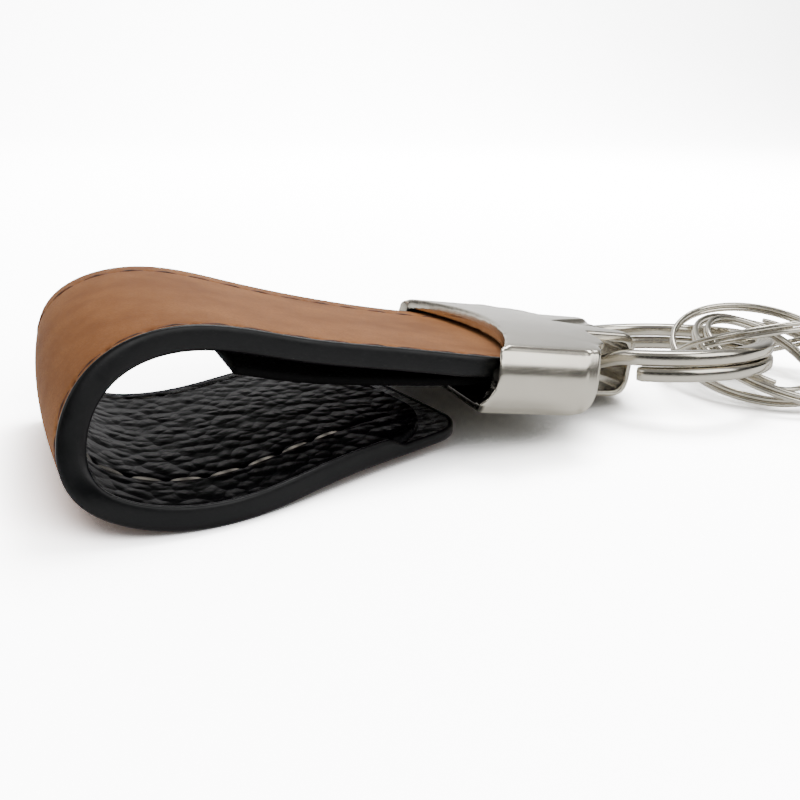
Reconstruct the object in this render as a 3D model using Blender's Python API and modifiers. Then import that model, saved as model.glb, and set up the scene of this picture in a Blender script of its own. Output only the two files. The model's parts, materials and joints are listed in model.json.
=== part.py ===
"""Leather key clip: a two-ply strap loop in a cast head, with a flat split ring and four thin ones.

The strap is one smooth ruled sheet between a near and a far edge curve. Its plies are bands of that
sheet at their own depths, each thickened. The head is a cross-section, a plan and a side outline,
intersected and then cut. Each split ring is one unbroken two-turn wire.
"""

from dataclasses import dataclass
from math import asin, cos, hypot, pi, radians, sin

import bmesh
import bpy
import numpy as np
from mathutils import Euler, Matrix, Vector

MM = 0.001

# Fits and overruns
SEAT_GAP = 0.3 * MM
CUT_OVERRUN = 2.0 * MM

# Strap
STRAP_WIDTH = 26.0 * MM
OUTER_PLY = 0.95 * MM
LINING_PLY = 0.75 * MM
STRAP_INSERT = 8.3 * MM
LOOP_REACH = 39.0 * MM
LOOP_RISE = 14.5 * MM
END_RADIUS = 3.2 * MM
LINING_END_RADIUS = 6.0 * MM
LINING_SETBACK = 3.0 * MM
KEEPER_REACH = 22.4 * MM
KEEPER_MARGIN = 1.8 * MM
KEEPER_SAG = 1.2 * MM
KEEPER_RADIUS = 1.0 * MM
ROW_STEP = 1.5 * MM
ROWS_ACROSS = 8
END_STEPS = 5

# The loop's edges after the mouth, as shares of the reach, the strap's width and the rise
NEAR_EDGE_SHARES = (
    (-0.226, -0.512, 0.745), (-0.456, -0.546, 0.869), (-0.695, -0.608, 1.000),
    (-0.877, -0.700, 0.800), (-0.913, -0.785, 0.262), (-0.705, -0.823, 0.014),
    (-0.390, -0.658, 0.045), (-0.108, -0.465, 0.060), (-0.026, -0.408, 0.068),
)
FAR_EDGE_SHARES = (
    (-0.272, 0.485, 0.607), (-0.541, 0.446, 0.807), (-0.813, 0.373, 0.959),
    (-0.997, 0.285, 0.738), (-0.977, 0.212, 0.152), (-0.772, 0.177, 0.007),
    (-0.554, 0.312, 0.014), (-0.323, 0.485, 0.028), (-0.244, 0.546, 0.038),
)

# Head, in its own axes: X along the strap, Y across it, Z up from the strap's outer face
MOUTH_HEIGHT = 8.0 * MM
HEAD_TILT = radians(7.3)
HEAD_ROLL = radians(5.4)
SIDE_WALL = 1.2 * MM
HEAD_LENGTH = 20.7 * MM
HEAD_TOP = 1.8 * MM
HEAD_CROWN = 0.7 * MM
HEAD_BOTTOM = 5.1 * MM
BOTTOM_WALL = 1.0 * MM
SIDE_BULGE = 0.35 * MM
SIDE_LENGTH = 9.2 * MM
WALL_END = 11.0 * MM
WALL_END_RADIUS = 3.0 * MM
LIP_REACH = 1.2 * MM
EDGE_RADIUS = 1.0 * MM
CAVITY_DEPTH = 8.9 * MM
MOUTH_SCOOP = 3.2 * MM
MOUTH_SETBACK = 0.9 * MM
NOSE_RADIUS = 3.1 * MM
NOSE_CORNER = 2.2 * MM
SHOULDER_LENGTH = 4.6 * MM
BAIL_WIDTH = 10.5 * MM
BAIL_WALL = 1.4 * MM
TUNNEL_LENGTH = 6.3 * MM
TONGUE_LENGTH = 5.0 * MM
TONGUE_WIDTH = 6.4 * MM
TONGUE_DEPTH = 0.25 * MM

# Main split ring: flat wire
RING_RADIUS = 11.5 * MM
RING_WIRE_WIDTH = 2.0 * MM
RING_WIRE_HEIGHT = 1.3 * MM
RING_WIRE_CHAMFER = 0.35 * MM
COIL_GAP = 0.42 * MM
RING_SAG = 0.25 * MM
RING_SETBACK = 0.85 * MM
RING_ROLL = radians(9.5)
RING_CUT = radians(227)
RING_RAMP = radians(32)
RING_STEPS = 48

# Thin split rings: round wire
THIN_WIRE = 0.5 * MM
THIN_RADIUS = 9.7 * MM
SMALL_THIN_RADIUS = 6.6 * MM
THIN_RAMP = radians(40)
THIN_STEPS = 32


@dataclass(frozen=True)
class ThinRing:
    """One thin ring: its size and lean, and its centre as shares of the main ring's radius."""

    radius: float
    centre_shares: tuple
    roll: float
    pitch: float
    cut: float


THIN_RINGS = (
    ThinRing(THIN_RADIUS, (0.916, -0.318, 0.106), radians(28.2), radians(-0.8), radians(200)),
    ThinRing(THIN_RADIUS, (1.075, -0.218, -0.022), radians(-15.8), radians(-7.5), radians(20)),
    ThinRing(THIN_RADIUS, (1.197, -0.365, -0.049), radians(-13.1), radians(5.5), radians(110)),
    ThinRing(SMALL_THIN_RADIUS, (1.072, -0.243, -0.034), radians(-20.1), radians(10.2), radians(300)),
)


def clear_scene():
    """Remove every object that the file starts with."""
    for item in list(bpy.data.objects):
        bpy.data.objects.remove(item, do_unlink=True)


def make_collection(name):
    """Return a new collection linked to the scene."""
    collection = bpy.data.collections.new(name)
    bpy.context.scene.collection.children.link(collection)
    return collection


def make_material(name, colour, roughness, metallic):
    """Return a Principled material."""
    material = bpy.data.materials.new(name)
    material.use_nodes = True
    shader = material.node_tree.nodes["Principled BSDF"]
    shader.inputs["Base Color"].default_value = (*colour, 1.0)
    shader.inputs["Roughness"].default_value = roughness
    shader.inputs["Metallic"].default_value = metallic
    return material


def add_object(name, data, collection, parent=None, material=None):
    """Link an object with its parent and material."""
    item = bpy.data.objects.new(name, data)
    collection.objects.link(item)
    item.parent = parent
    if material is not None:
        data.materials.append(material)
    return item


def add_empty(name, collection, parent, place, turn=(0.0, 0.0, 0.0)):
    """Link an empty that carries a frame of its own."""
    item = add_object(name, None, collection, parent)
    item.location = place
    item.rotation_euler = turn
    return item


def mark_as_cutter(item):
    """Show a cutter as wire and keep it out of renders."""
    item.hide_render = True
    item.display_type = "WIRE"


def smooth_shade(mesh, angle=radians(35)):
    """Shade round faces smooth and keep real edges sharp."""
    mesh.shade_smooth()
    mesh.set_sharp_from_angle(angle=angle)


# The strap's sheet


def head_matrix():
    """Return the head's frame: at mid mouth, tilted nose down and rolled far side down."""
    turn = Euler((-HEAD_ROLL, HEAD_TILT, 0.0)).to_matrix().to_4x4()
    return Matrix.Translation((0.0, 0.0, MOUTH_HEIGHT)) @ turn


def edge_points(side, shares):
    """Return one edge's guide points, from inside the head round the loop to the free end."""
    frame = head_matrix()
    half = side * STRAP_WIDTH / 2
    guides = [frame @ Vector((STRAP_INSERT, half, 0.0)), frame @ Vector((0.0, half, 0.0))]
    sizes = (LOOP_REACH, STRAP_WIDTH, LOOP_RISE)
    guides += [Vector([share * size for share, size in zip(row, sizes)]) for row in shares]
    return np.array([tuple(point) for point in guides])


class SmoothCurve:
    """A curve through guide points, read by its arc length from the first to the last."""

    SAMPLES = 40

    def __init__(self, guides):
        steps = np.linalg.norm(np.diff(guides, axis=0), axis=1)
        knots = np.concatenate([[0.0], np.cumsum(steps)])
        tangents = self.tangents(guides, knots)
        runs = [self.run(guides, tangents, knots, index) for index in range(len(steps))]
        self.points = np.vstack(runs + [guides[-1:]])
        lengths = np.linalg.norm(np.diff(self.points, axis=0), axis=1)
        self.arc = np.concatenate([[0.0], np.cumsum(lengths)])
        self.length = self.arc[-1]

    @staticmethod
    def tangents(guides, knots):
        """Return the natural cubic spline's slope at each guide."""
        gaps = np.diff(knots)
        slopes = np.diff(guides, axis=0) / gaps[:, None]
        count = len(guides)
        system = np.zeros((count, count))
        right = np.zeros_like(guides)
        system[0, :2] = (2.0, 1.0)
        right[0] = 3.0 * slopes[0]
        system[-1, -2:] = (1.0, 2.0)
        right[-1] = 3.0 * slopes[-1]
        for index in range(1, count - 1):
            before, after = gaps[index - 1], gaps[index]
            system[index, index - 1:index + 2] = (after, 2.0 * (before + after), before)
            right[index] = 3.0 * (after * slopes[index - 1] + before * slopes[index])
        return np.linalg.solve(system, right)

    def run(self, guides, tangents, knots, index):
        """Return the Hermite points between one guide and the next."""
        span = knots[index + 1] - knots[index]
        share = np.linspace(0.0, 1.0, self.SAMPLES, endpoint=False)[:, None]
        start, end = guides[index], guides[index + 1]
        leave, arrive = tangents[index] * span, tangents[index + 1] * span
        square, cube = share ** 2, share ** 3
        return ((2 * cube - 3 * square + 1) * start + (cube - 2 * square + share) * leave
                + (3 * square - 2 * cube) * end + (cube - square) * arrive)

    def at(self, share):
        """Return the point at a share of the curve's length."""
        place = share * self.length
        return np.array([np.interp(place, self.arc, self.points[:, axis]) for axis in range(3)])


class StrapSheet:
    """The strap's outer face: straight rulings between its near and far edges."""

    STEP_SHARE = 0.004

    def __init__(self):
        self.near = SmoothCurve(edge_points(-1, NEAR_EDGE_SHARES))
        self.far = SmoothCurve(edge_points(1, FAR_EDGE_SHARES))
        self.length = (self.near.length + self.far.length) / 2

    def face(self, along, across):
        """Return the outer face's point at shares of the length and the width."""
        return (1.0 - across) * self.near.at(along) + across * self.far.at(along)

    def outward(self, along, across):
        """Return the unit normal that points out of the loop."""
        ahead = self.face(min(along + self.STEP_SHARE, 1.0), across)
        behind = self.face(max(along - self.STEP_SHARE, 0.0), across)
        ruling = self.far.at(along) - self.near.at(along)
        normal = np.cross(ruling, ahead - behind)
        return normal / np.linalg.norm(normal)

    def inside(self, along, across, depth):
        """Return the point at a depth below the outer face."""
        return self.face(along, across) - depth * self.outward(along, across)


def band_rows(start, end, radius):
    """Return each row's place along the strap and its inset, for a band with rounded end corners."""
    straight = end - radius - start
    count = max(2, round(straight / ROW_STEP))
    rows = [(start + straight * index / count, 0.0) for index in range(count + 1)]
    for index in range(1, END_STEPS + 1):
        turn = index * pi / 2 / END_STEPS
        rows.append((end - radius + radius * sin(turn), radius * (1.0 - cos(turn))))
    return rows


def make_ply(name, sheet, band, depth, thickness, collection, parent, material, sag=0.0):
    """Model one ply: a band of the strap's sheet at its depth, thickened inwards.

    band is the ply's start, end, side margin and end corner radius, and sag is how far its free
    end hangs away from the sheet.
    """
    start, end, margin, radius = band
    points = []
    rows = band_rows(start, end, radius)
    for place, inset in rows:
        edge_share = (margin + inset) / STRAP_WIDTH
        free = max(0.0, place - STRAP_INSERT) / (end - STRAP_INSERT)
        below = depth + sag * (1.0 - (1.0 - free) ** 2)
        for column in range(ROWS_ACROSS + 1):
            across = edge_share + (1.0 - 2.0 * edge_share) * column / ROWS_ACROSS
            points.append(sheet.inside(place / sheet.length, across, below))
    wide = ROWS_ACROSS + 1
    quads = []
    for row in range(len(rows) - 1):
        for column in range(ROWS_ACROSS):
            first = row * wide + column
            quads.append((first, first + 1, first + wide + 1, first + wide))
    mesh = bpy.data.meshes.new(name)
    mesh.from_pydata([tuple(point) for point in points], [], quads)
    smooth_shade(mesh)
    ply = add_object(name, mesh, collection, parent, material)
    solidify = ply.modifiers.new("thickness", "SOLIDIFY")
    solidify.thickness = thickness
    solidify.offset = -1.0
    solidify.use_even_offset = True
    return ply


def make_strap(collection, parent, tan, black):
    """Model the outer ply, its lining and the keeper ply under the top run."""
    sheet = StrapSheet()
    full = sheet.length
    lining_depth = OUTER_PLY + SEAT_GAP
    keeper_depth = lining_depth + LINING_PLY + SEAT_GAP
    make_ply("strap_outer_ply", sheet, (0.0, full, 0.0, END_RADIUS), 0.0, OUTER_PLY,
             collection, parent, tan)
    make_ply("strap_lining_ply", sheet, (0.0, full - LINING_SETBACK, 0.0, LINING_END_RADIUS),
             lining_depth, LINING_PLY, collection, parent, black)
    make_ply("keeper_ply", sheet, (0.0, STRAP_INSERT + KEEPER_REACH, KEEPER_MARGIN, KEEPER_RADIUS),
             keeper_depth, LINING_PLY, collection, parent, black, KEEPER_SAG)


# The head


def arc(centre, radius, start, end, steps):
    """Return points along a flat arc, in radians from the first axis."""
    turns = [start + (end - start) * index / steps for index in range(steps + 1)]
    return [(centre[0] + radius * cos(turn), centre[1] + radius * sin(turn)) for turn in turns]


def make_outline(name, points, half_depth, collection, parent, turn=(0.0, 0.0, 0.0)):
    """Return a closed flat outline extruded to both sides, as a welded mesh object."""
    curve = bpy.data.curves.new(name, "CURVE")
    curve.dimensions = "2D"
    curve.fill_mode = "BOTH"
    curve.extrude = half_depth
    spline = curve.splines.new("POLY")
    spline.points.add(len(points) - 1)
    for item, (first, second) in zip(spline.points, points):
        item.co = (first, second, 0.0, 1.0)
    spline.use_cyclic_u = True
    guide = add_object(name, curve, collection, parent)
    guide.rotation_euler = turn
    return curve_to_mesh(guide, collection)


def curve_to_mesh(guide, collection, material=None):
    """Swap a curve object for a mesh object of the same shape, name and place."""
    bpy.context.view_layer.update()
    graph = bpy.context.evaluated_depsgraph_get()
    mesh = bpy.data.meshes.new_from_object(guide.evaluated_get(graph))
    body = bmesh.new()
    body.from_mesh(mesh)
    bmesh.ops.remove_doubles(body, verts=body.verts, dist=MM / 1000)
    bmesh.ops.recalc_face_normals(body, faces=body.faces)
    body.to_mesh(mesh)
    body.free()
    name, parent, matrix = guide.name, guide.parent, guide.matrix_world.copy()
    bpy.data.objects.remove(guide, do_unlink=True)
    mesh.name = name
    item = add_object(name, mesh, collection, parent, material)
    item.matrix_world = matrix
    return item


def cut(body, cutter, operation="DIFFERENCE"):
    """Add an exact Boolean to a body and mark its cutter."""
    mark_as_cutter(cutter)
    boolean = body.modifiers.new(cutter.name, "BOOLEAN")
    boolean.operation = operation
    boolean.solver = "EXACT"
    boolean.object = cutter


SIDEWAYS = (pi / 2, 0.0, 0.0)
ENDWAYS = (pi / 2, 0.0, pi / 2)


def head_half_width():
    """Return half the head's width over its side walls, before their bulge."""
    return STRAP_WIDTH / 2 + SEAT_GAP + SIDE_WALL


def section_outline():
    """Return the head's section across the strap: crowned top, bulged sides, rounded corners."""
    half = head_half_width()
    crown_radius = (half ** 2 + HEAD_CROWN ** 2) / (2 * HEAD_CROWN)
    crown_turn = asin(half / crown_radius)
    crown_centre = (0.0, HEAD_TOP + HEAD_CROWN - crown_radius)
    top = arc(crown_centre, crown_radius, pi / 2 - crown_turn, pi / 2 + crown_turn, 16)
    tall = HEAD_TOP + HEAD_BOTTOM - EDGE_RADIUS
    bulge_radius = ((tall / 2) ** 2 + SIDE_BULGE ** 2) / (2 * SIDE_BULGE)
    bulge_turn = asin(tall / 2 / bulge_radius)
    middle = HEAD_TOP - tall / 2
    bulge_centre = -half - SIDE_BULGE + bulge_radius
    left = arc((bulge_centre, middle), bulge_radius, pi - bulge_turn, pi + bulge_turn, 6)
    corner = arc((EDGE_RADIUS - half, EDGE_RADIUS - HEAD_BOTTOM), EDGE_RADIUS, pi, 3 * pi / 2, 4)
    lower_left = left[1:-1] + corner
    lower_right = [(-first, second) for first, second in reversed(lower_left)]
    return top + lower_left + lower_right


def plan_outline():
    """Return the head's plan: parallel sides, rounded shoulders and the narrower bail."""
    half = head_half_width() + SIDE_BULGE + SEAT_GAP
    bail_half = BAIL_WIDTH / 2
    shoulder_wide = half - EDGE_RADIUS - bail_half
    side = [(-LIP_REACH, half)]
    side += arc((SIDE_LENGTH - EDGE_RADIUS, half - EDGE_RADIUS), EDGE_RADIUS, pi / 2, pi / 4, 2)
    first_turn, last_turn = radians(75), radians(3)
    for index in range(9):
        turn = first_turn + (last_turn - first_turn) * index / 8
        side.append((SIDE_LENGTH + SHOULDER_LENGTH * cos(turn), bail_half + shoulder_wide * sin(turn)))
    side.append((SIDE_LENGTH + SHOULDER_LENGTH, bail_half))
    side += arc((HEAD_LENGTH - NOSE_CORNER, bail_half - NOSE_CORNER), NOSE_CORNER, pi / 2, 0.0, 5)
    return side + [(along, -across) for along, across in reversed(side)]


def side_outline():
    """Return the head's side view: straight top and bottom, round nose, raked mouth edge."""
    above = HEAD_TOP + HEAD_CROWN + CUT_OVERRUN
    nose_top = HEAD_TOP + HEAD_CROWN - NOSE_RADIUS
    nose_centre = HEAD_LENGTH - NOSE_RADIUS
    lip_top = -HEAD_BOTTOM + BOTTOM_WALL
    points = [(0.0, HEAD_TOP - EDGE_RADIUS), (EDGE_RADIUS / 4, HEAD_TOP - EDGE_RADIUS / 4),
              (EDGE_RADIUS, HEAD_TOP), (EDGE_RADIUS, above), (nose_centre - NOSE_RADIUS, above),
              (nose_centre - NOSE_RADIUS, HEAD_TOP + HEAD_CROWN)]
    points += arc((nose_centre, nose_top), NOSE_RADIUS, pi / 2, 0.0, 8)
    points += arc((nose_centre, NOSE_RADIUS - HEAD_BOTTOM), NOSE_RADIUS, 0.0, -pi / 2, 8)
    lip = EDGE_RADIUS / 2
    points += arc((lip - LIP_REACH, lip - HEAD_BOTTOM), lip, -pi / 2, -pi, 3)
    points += [(-LIP_REACH, lip_top), (-LIP_REACH / 2, lip_top + BOTTOM_WALL / 2),
               (-LIP_REACH / 8, lip_top + 1.5 * BOTTOM_WALL), (0.0, lip_top + 2.5 * BOTTOM_WALL)]
    return points


def tunnel_outline():
    """Return the bail's tunnel in side view: flat at the body, round at the nose."""
    back = HEAD_LENGTH - BAIL_WALL
    front = back - TUNNEL_LENGTH
    radius = NOSE_RADIUS - BAIL_WALL
    corner = radius / 2
    top = HEAD_TOP + HEAD_CROWN - BAIL_WALL
    low = BAIL_WALL / 2 - HEAD_BOTTOM
    points = arc((front + corner, top - corner), corner, pi, pi / 2, 3)
    points += arc((back - radius, top - radius), radius, pi / 2, 0.0, 5)
    points += arc((back - radius, low + radius), radius, 0.0, -pi / 2, 5)
    points += arc((front + corner, low + corner), corner, -pi / 2, -pi, 3)
    return points


def make_box(name, low, high, collection, parent):
    """Return a box between two corners of its parent's frame."""
    mesh = bpy.data.meshes.new(name)
    body = bmesh.new()
    bmesh.ops.create_cube(body, size=1.0)
    size = [top - bottom for bottom, top in zip(low, high)]
    middle = [(top + bottom) / 2 for bottom, top in zip(low, high)]
    bmesh.ops.scale(body, vec=size, verts=body.verts)
    bmesh.ops.translate(body, vec=middle, verts=body.verts)
    body.to_mesh(mesh)
    body.free()
    return add_object(name, mesh, collection, parent)


def make_scoop(collection, parent):
    """Return the upright cylinder that hollows the top plate's mouth edge."""
    half = STRAP_WIDTH / 2
    radius = (half ** 2 + MOUTH_SCOOP ** 2) / (2 * MOUTH_SCOOP)
    low = -OUTER_PLY
    high = HEAD_TOP + HEAD_CROWN + CUT_OVERRUN
    mesh = bpy.data.meshes.new("mouth_scoop")
    body = bmesh.new()
    bmesh.ops.create_cone(body, cap_ends=True, segments=128, radius1=radius, radius2=radius,
                          depth=high - low)
    place = (MOUTH_SETBACK + MOUTH_SCOOP - radius, 0.0, (high + low) / 2)
    bmesh.ops.translate(body, vec=place, verts=body.verts)
    body.to_mesh(mesh)
    body.free()
    return add_object("mouth_scoop", mesh, collection, parent)


def make_flank(side, collection, parent):
    """Return the cutter that ends one side wall in a rounded corner and leaves the roof over it."""
    low = -HEAD_BOTTOM - CUT_OVERRUN
    roof = HEAD_TOP + HEAD_CROWN - BAIL_WALL
    past = HEAD_LENGTH + CUT_OVERRUN
    turn_x = WALL_END - WALL_END_RADIUS
    points = [(past, roof), (past, low), (turn_x, low)]
    points += arc((turn_x, WALL_END_RADIUS - HEAD_BOTTOM), WALL_END_RADIUS, -pi / 2, 0.0, 8)
    points += arc((WALL_END + NOSE_CORNER / 2, roof - NOSE_CORNER / 2), NOSE_CORNER / 2, pi, pi / 2, 3)
    depth = (head_half_width() + CUT_OVERRUN - BAIL_WIDTH / 2) / 2
    flank = make_outline("flank", points, depth, collection, parent, SIDEWAYS)
    flank.location.y = side * (BAIL_WIDTH / 2 + depth)
    return flank


def make_tongue_recess(collection, parent):
    """Return the flat V that sinks into the top behind the bail."""
    wide = TONGUE_WIDTH / 2
    tip = HEAD_LENGTH - TONGUE_LENGTH
    points = [(tip, 0.0), (HEAD_LENGTH + CUT_OVERRUN, wide), (HEAD_LENGTH + CUT_OVERRUN, -wide)]
    recess = make_outline("tongue_recess", points, CUT_OVERRUN, collection, parent)
    recess.location.z = HEAD_TOP + HEAD_CROWN + CUT_OVERRUN - TONGUE_DEPTH
    return recess


def make_head(collection, cutters, parent, material):
    """Model the head: three outlines intersected, then its mouth, tunnel, flanks and V cut."""
    half = head_half_width()
    length = HEAD_LENGTH + LIP_REACH
    head = make_outline("head", section_outline(), length, collection, parent, ENDWAYS)
    head.data.materials.append(material)
    plan = make_outline("head_plan", plan_outline(), HEAD_TOP + HEAD_BOTTOM, cutters, parent)
    side = make_outline("head_side", side_outline(), half + CUT_OVERRUN, cutters, parent, SIDEWAYS)
    cut(head, plan, "INTERSECT")
    cut(head, side, "INTERSECT")
    inner = half - SIDE_WALL
    floor = BOTTOM_WALL - HEAD_BOTTOM
    cavity = make_box("mouth_cavity", (-LIP_REACH - CUT_OVERRUN, -inner, floor),
                      (CAVITY_DEPTH, inner, SEAT_GAP), cutters, parent)
    cut(head, cavity)
    cut(head, make_scoop(cutters, parent))
    tunnel = make_outline("bail_tunnel", tunnel_outline(), BAIL_WIDTH, cutters, parent, SIDEWAYS)
    cut(head, tunnel)
    for flank_side in (-1, 1):
        cut(head, make_flank(flank_side, cutters, parent))
    cut(head, make_tongue_recess(cutters, parent))
    return head


# The split rings


@dataclass(frozen=True)
class Wire:
    """A split ring's wire section and the way its two turns lie."""

    width: float
    height: float
    chamfer: float
    radius: float
    cut: float
    ramp: float
    steps: int

    @property
    def rise(self):
        """Return how far the second turn lies above the first."""
        return self.height + COIL_GAP


def coil_points(wire):
    """Return a split ring's centre line: one turn, a ramp up past the cut ends, and one more."""
    clearance = (COIL_GAP + wire.height / 4) / wire.radius
    total = 4 * pi - wire.ramp - 2 * clearance
    count = round(2 * wire.steps * total / (4 * pi))
    points = []
    for index in range(count + 1):
        turn = total * index / count
        climb = (turn - (2 * pi - clearance - wire.ramp)) / wire.ramp
        share = min(max(climb, 0.0), 1.0)
        level = share * share * (3.0 - 2.0 * share) - 1 / 2
        angle = wire.cut + turn
        points.append(Vector((wire.radius * cos(angle), wire.radius * sin(angle), level * wire.rise)))
    return points


def least_coil_gap(wire, points):
    """Return the least gap between two turns, from their centre lines' distances and the section."""
    least = wire.radius
    apart = wire.steps // 2
    for first in range(len(points)):
        for second in range(first + apart, len(points)):
            step = points[second] - points[first]
            flat = max(hypot(step.x, step.y) - wire.height / 2, 0.0)
            rise = max(abs(step.z) - wire.height, 0.0)
            least = min(least, hypot(flat, rise))
    return least


def section_curve(name, wire, collection):
    """Return the flat wire's chamfered section as a bevel curve."""
    wide, tall, corner = wire.width / 2, wire.height / 2, wire.chamfer
    quarter = [(wide, tall - corner), (wide - corner, tall)]
    upper = quarter + [(-first, second) for first, second in reversed(quarter)]
    points = upper + [(-first, -second) for first, second in upper]
    curve = bpy.data.curves.new(name, "CURVE")
    curve.dimensions = "2D"
    spline = curve.splines.new("POLY")
    spline.points.add(len(points) - 1)
    for item, (first, second) in zip(spline.points, points):
        item.co = (first, second, 0.0, 1.0)
    spline.use_cyclic_u = True
    guide = add_object(name, curve, collection)
    mark_as_cutter(guide)
    return guide


def make_split_ring(name, wire, collection, cutters, parent, material):
    """Model a split ring as one unbroken wire: flat from a section, or round."""
    points = coil_points(wire)
    gap = least_coil_gap(wire, points)
    print(f"{name}: least gap between its turns {gap / MM:.3f} mm")
    curve = bpy.data.curves.new(name, "CURVE")
    curve.dimensions = "3D"
    curve.use_fill_caps = True
    curve.twist_mode = "Z_UP"
    if wire.chamfer > 0:
        curve.bevel_mode = "OBJECT"
        curve.bevel_object = section_curve(name + "_section", wire, cutters)
    else:
        curve.bevel_depth = wire.height / 2
        curve.bevel_resolution = 2
    spline = curve.splines.new("POLY")
    spline.points.add(len(points) - 1)
    for item, point in zip(spline.points, points):
        item.co = (*point, 1.0)
    guide = add_object(name, curve, collection, parent)
    return curve_to_mesh(guide, collection, material)


def main_wire():
    """Return the main split ring's wire."""
    return Wire(RING_WIRE_WIDTH, RING_WIRE_HEIGHT, RING_WIRE_CHAMFER, RING_RADIUS,
                RING_CUT, RING_RAMP, RING_STEPS)


def bail_seat():
    """Return the middle of the wire in the bail's tunnel, in the head's frame."""
    back = HEAD_LENGTH - BAIL_WALL
    middle = ((HEAD_TOP + HEAD_CROWN - BAIL_WALL) + (BAIL_WALL / 2 - HEAD_BOTTOM)) / 2
    return Vector((back - TUNNEL_LENGTH / 2 - RING_SETBACK, 0.0, middle - RING_SAG))


def ring_axis_place():
    """Return the main ring's hinge point in the clip's frame."""
    return head_matrix() @ bail_seat()


def make_rings(collection, cutters, parent, material):
    """Model the main ring on its hinge at the bail, and the thin rings beside it."""
    place = ring_axis_place()
    hinge = add_empty("main_ring_hinge", collection, parent, place, (-RING_ROLL, 0.0, 0.0))
    ring = make_split_ring("main_split_ring", main_wire(), collection, cutters, hinge, material)
    ring.matrix_parent_inverse = Matrix.Identity(4)
    ring.matrix_basis = Matrix.Translation((RING_RADIUS, 0.0, 0.0))
    for number, thin in enumerate(THIN_RINGS, start=1):
        wire = Wire(THIN_WIRE, THIN_WIRE, 0.0, thin.radius, thin.cut, THIN_RAMP, THIN_STEPS)
        along, across, up = thin.centre_shares
        centre = place + RING_RADIUS * Vector((1.0 + along, across, up))
        carrier = add_empty(f"thin_ring_{number}_frame", collection, parent, centre,
                            (-thin.roll, thin.pitch, 0.0))
        item = make_split_ring(f"thin_split_ring_{number}", wire, collection, cutters, carrier,
                               material)
        item.matrix_parent_inverse = Matrix.Identity(4)
        item.matrix_basis = Matrix.Identity(4)


def centre_on_origin(collection, root):
    """Move the whole clip so that the middle of its box's bottom lies at the origin."""
    bpy.context.view_layer.update()
    graph = bpy.context.evaluated_depsgraph_get()
    corners = []
    for item in collection.objects:
        if item.type != "MESH":
            continue
        shape = item.evaluated_get(graph)
        corners += [item.matrix_world @ vertex.co for vertex in shape.data.vertices]
    spots = np.array([tuple(corner) for corner in corners])
    low, high = spots.min(axis=0), spots.max(axis=0)
    root.location = (-(low[0] + high[0]) / 2, -(low[1] + high[1]) / 2, -low[2])
    bpy.context.view_layer.update()


def main():
    """Build the key clip."""
    clear_scene()
    collection = make_collection("leather_key_clip")
    cutters = make_collection("cutters")
    root = add_empty("clip_root", collection, None, (0.0, 0.0, 0.0))
    tan = make_material("tan_leather", (0.43, 0.19, 0.09), 0.55, 0.0)
    black = make_material("black_leather", (0.012, 0.012, 0.013), 0.5, 0.0)
    nickel = make_material("satin_nickel", (0.62, 0.60, 0.56), 0.32, 1.0)
    bright = make_material("bright_nickel", (0.66, 0.65, 0.63), 0.15, 1.0)
    make_strap(collection, root, tan, black)
    frame = head_matrix()
    head_frame = add_empty("head_frame", collection, root, frame.to_translation(), frame.to_euler())
    make_head(collection, cutters, head_frame, nickel)
    make_rings(collection, cutters, root, bright)
    centre_on_origin(collection, root)


main()
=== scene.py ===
"""Leather key clip, dressed: a stitched two-ply strap loop, a cast head and split rings.

Every piece is worked out in millimetres (times MM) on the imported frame's own axes: +X from the
loop to the rings, +Y to the far side, +Z up. The strap follows the same two edge curves as the
solids, so each dressed piece lies where its solid lies.
"""

import json
import logging
from dataclasses import dataclass, field
from enum import Enum
from math import cos, pi, radians, sin

import bmesh
import bpy
import numpy as np
from mathutils import Euler, Matrix, Vector


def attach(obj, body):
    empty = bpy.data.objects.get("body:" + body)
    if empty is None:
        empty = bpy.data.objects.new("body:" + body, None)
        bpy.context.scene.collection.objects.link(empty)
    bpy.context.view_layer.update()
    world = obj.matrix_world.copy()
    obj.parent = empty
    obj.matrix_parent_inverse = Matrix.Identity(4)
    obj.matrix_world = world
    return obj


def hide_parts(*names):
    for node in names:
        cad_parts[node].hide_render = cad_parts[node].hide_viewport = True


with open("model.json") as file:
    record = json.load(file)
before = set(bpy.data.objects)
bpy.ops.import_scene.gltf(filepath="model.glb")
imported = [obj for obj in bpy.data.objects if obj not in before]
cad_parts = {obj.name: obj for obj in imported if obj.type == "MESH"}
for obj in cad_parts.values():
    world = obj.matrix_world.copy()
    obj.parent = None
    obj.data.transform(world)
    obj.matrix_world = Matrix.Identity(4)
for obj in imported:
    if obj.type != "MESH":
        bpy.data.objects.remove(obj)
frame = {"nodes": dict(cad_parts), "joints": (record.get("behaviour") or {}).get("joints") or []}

MM = 0.001
LOG = logging.getLogger("key_clip")
Array = np.ndarray
Rows = tuple[tuple[float, ...], ...]


# Mesh and node helpers


def linear(code: str) -> tuple[float, float, float, float]:
    """Turn an sRGB hex colour to linear.

    Args:
        code: The colour as "#rrggbb".

    Returns:
        The linear red, green, blue and an alpha of one.
    """
    shares = [int(code[place:place + 2], 16) / 255 for place in (1, 3, 5)]
    parts = [s / 12.92 if s <= 0.04045 else ((s + 0.055) / 1.055) ** 2.4 for s in shares]
    return (*parts, 1.0)


def per(size: float) -> float:
    """Return a texture's scale for a pattern of one real size in metres."""
    return 1.0 / size


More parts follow.
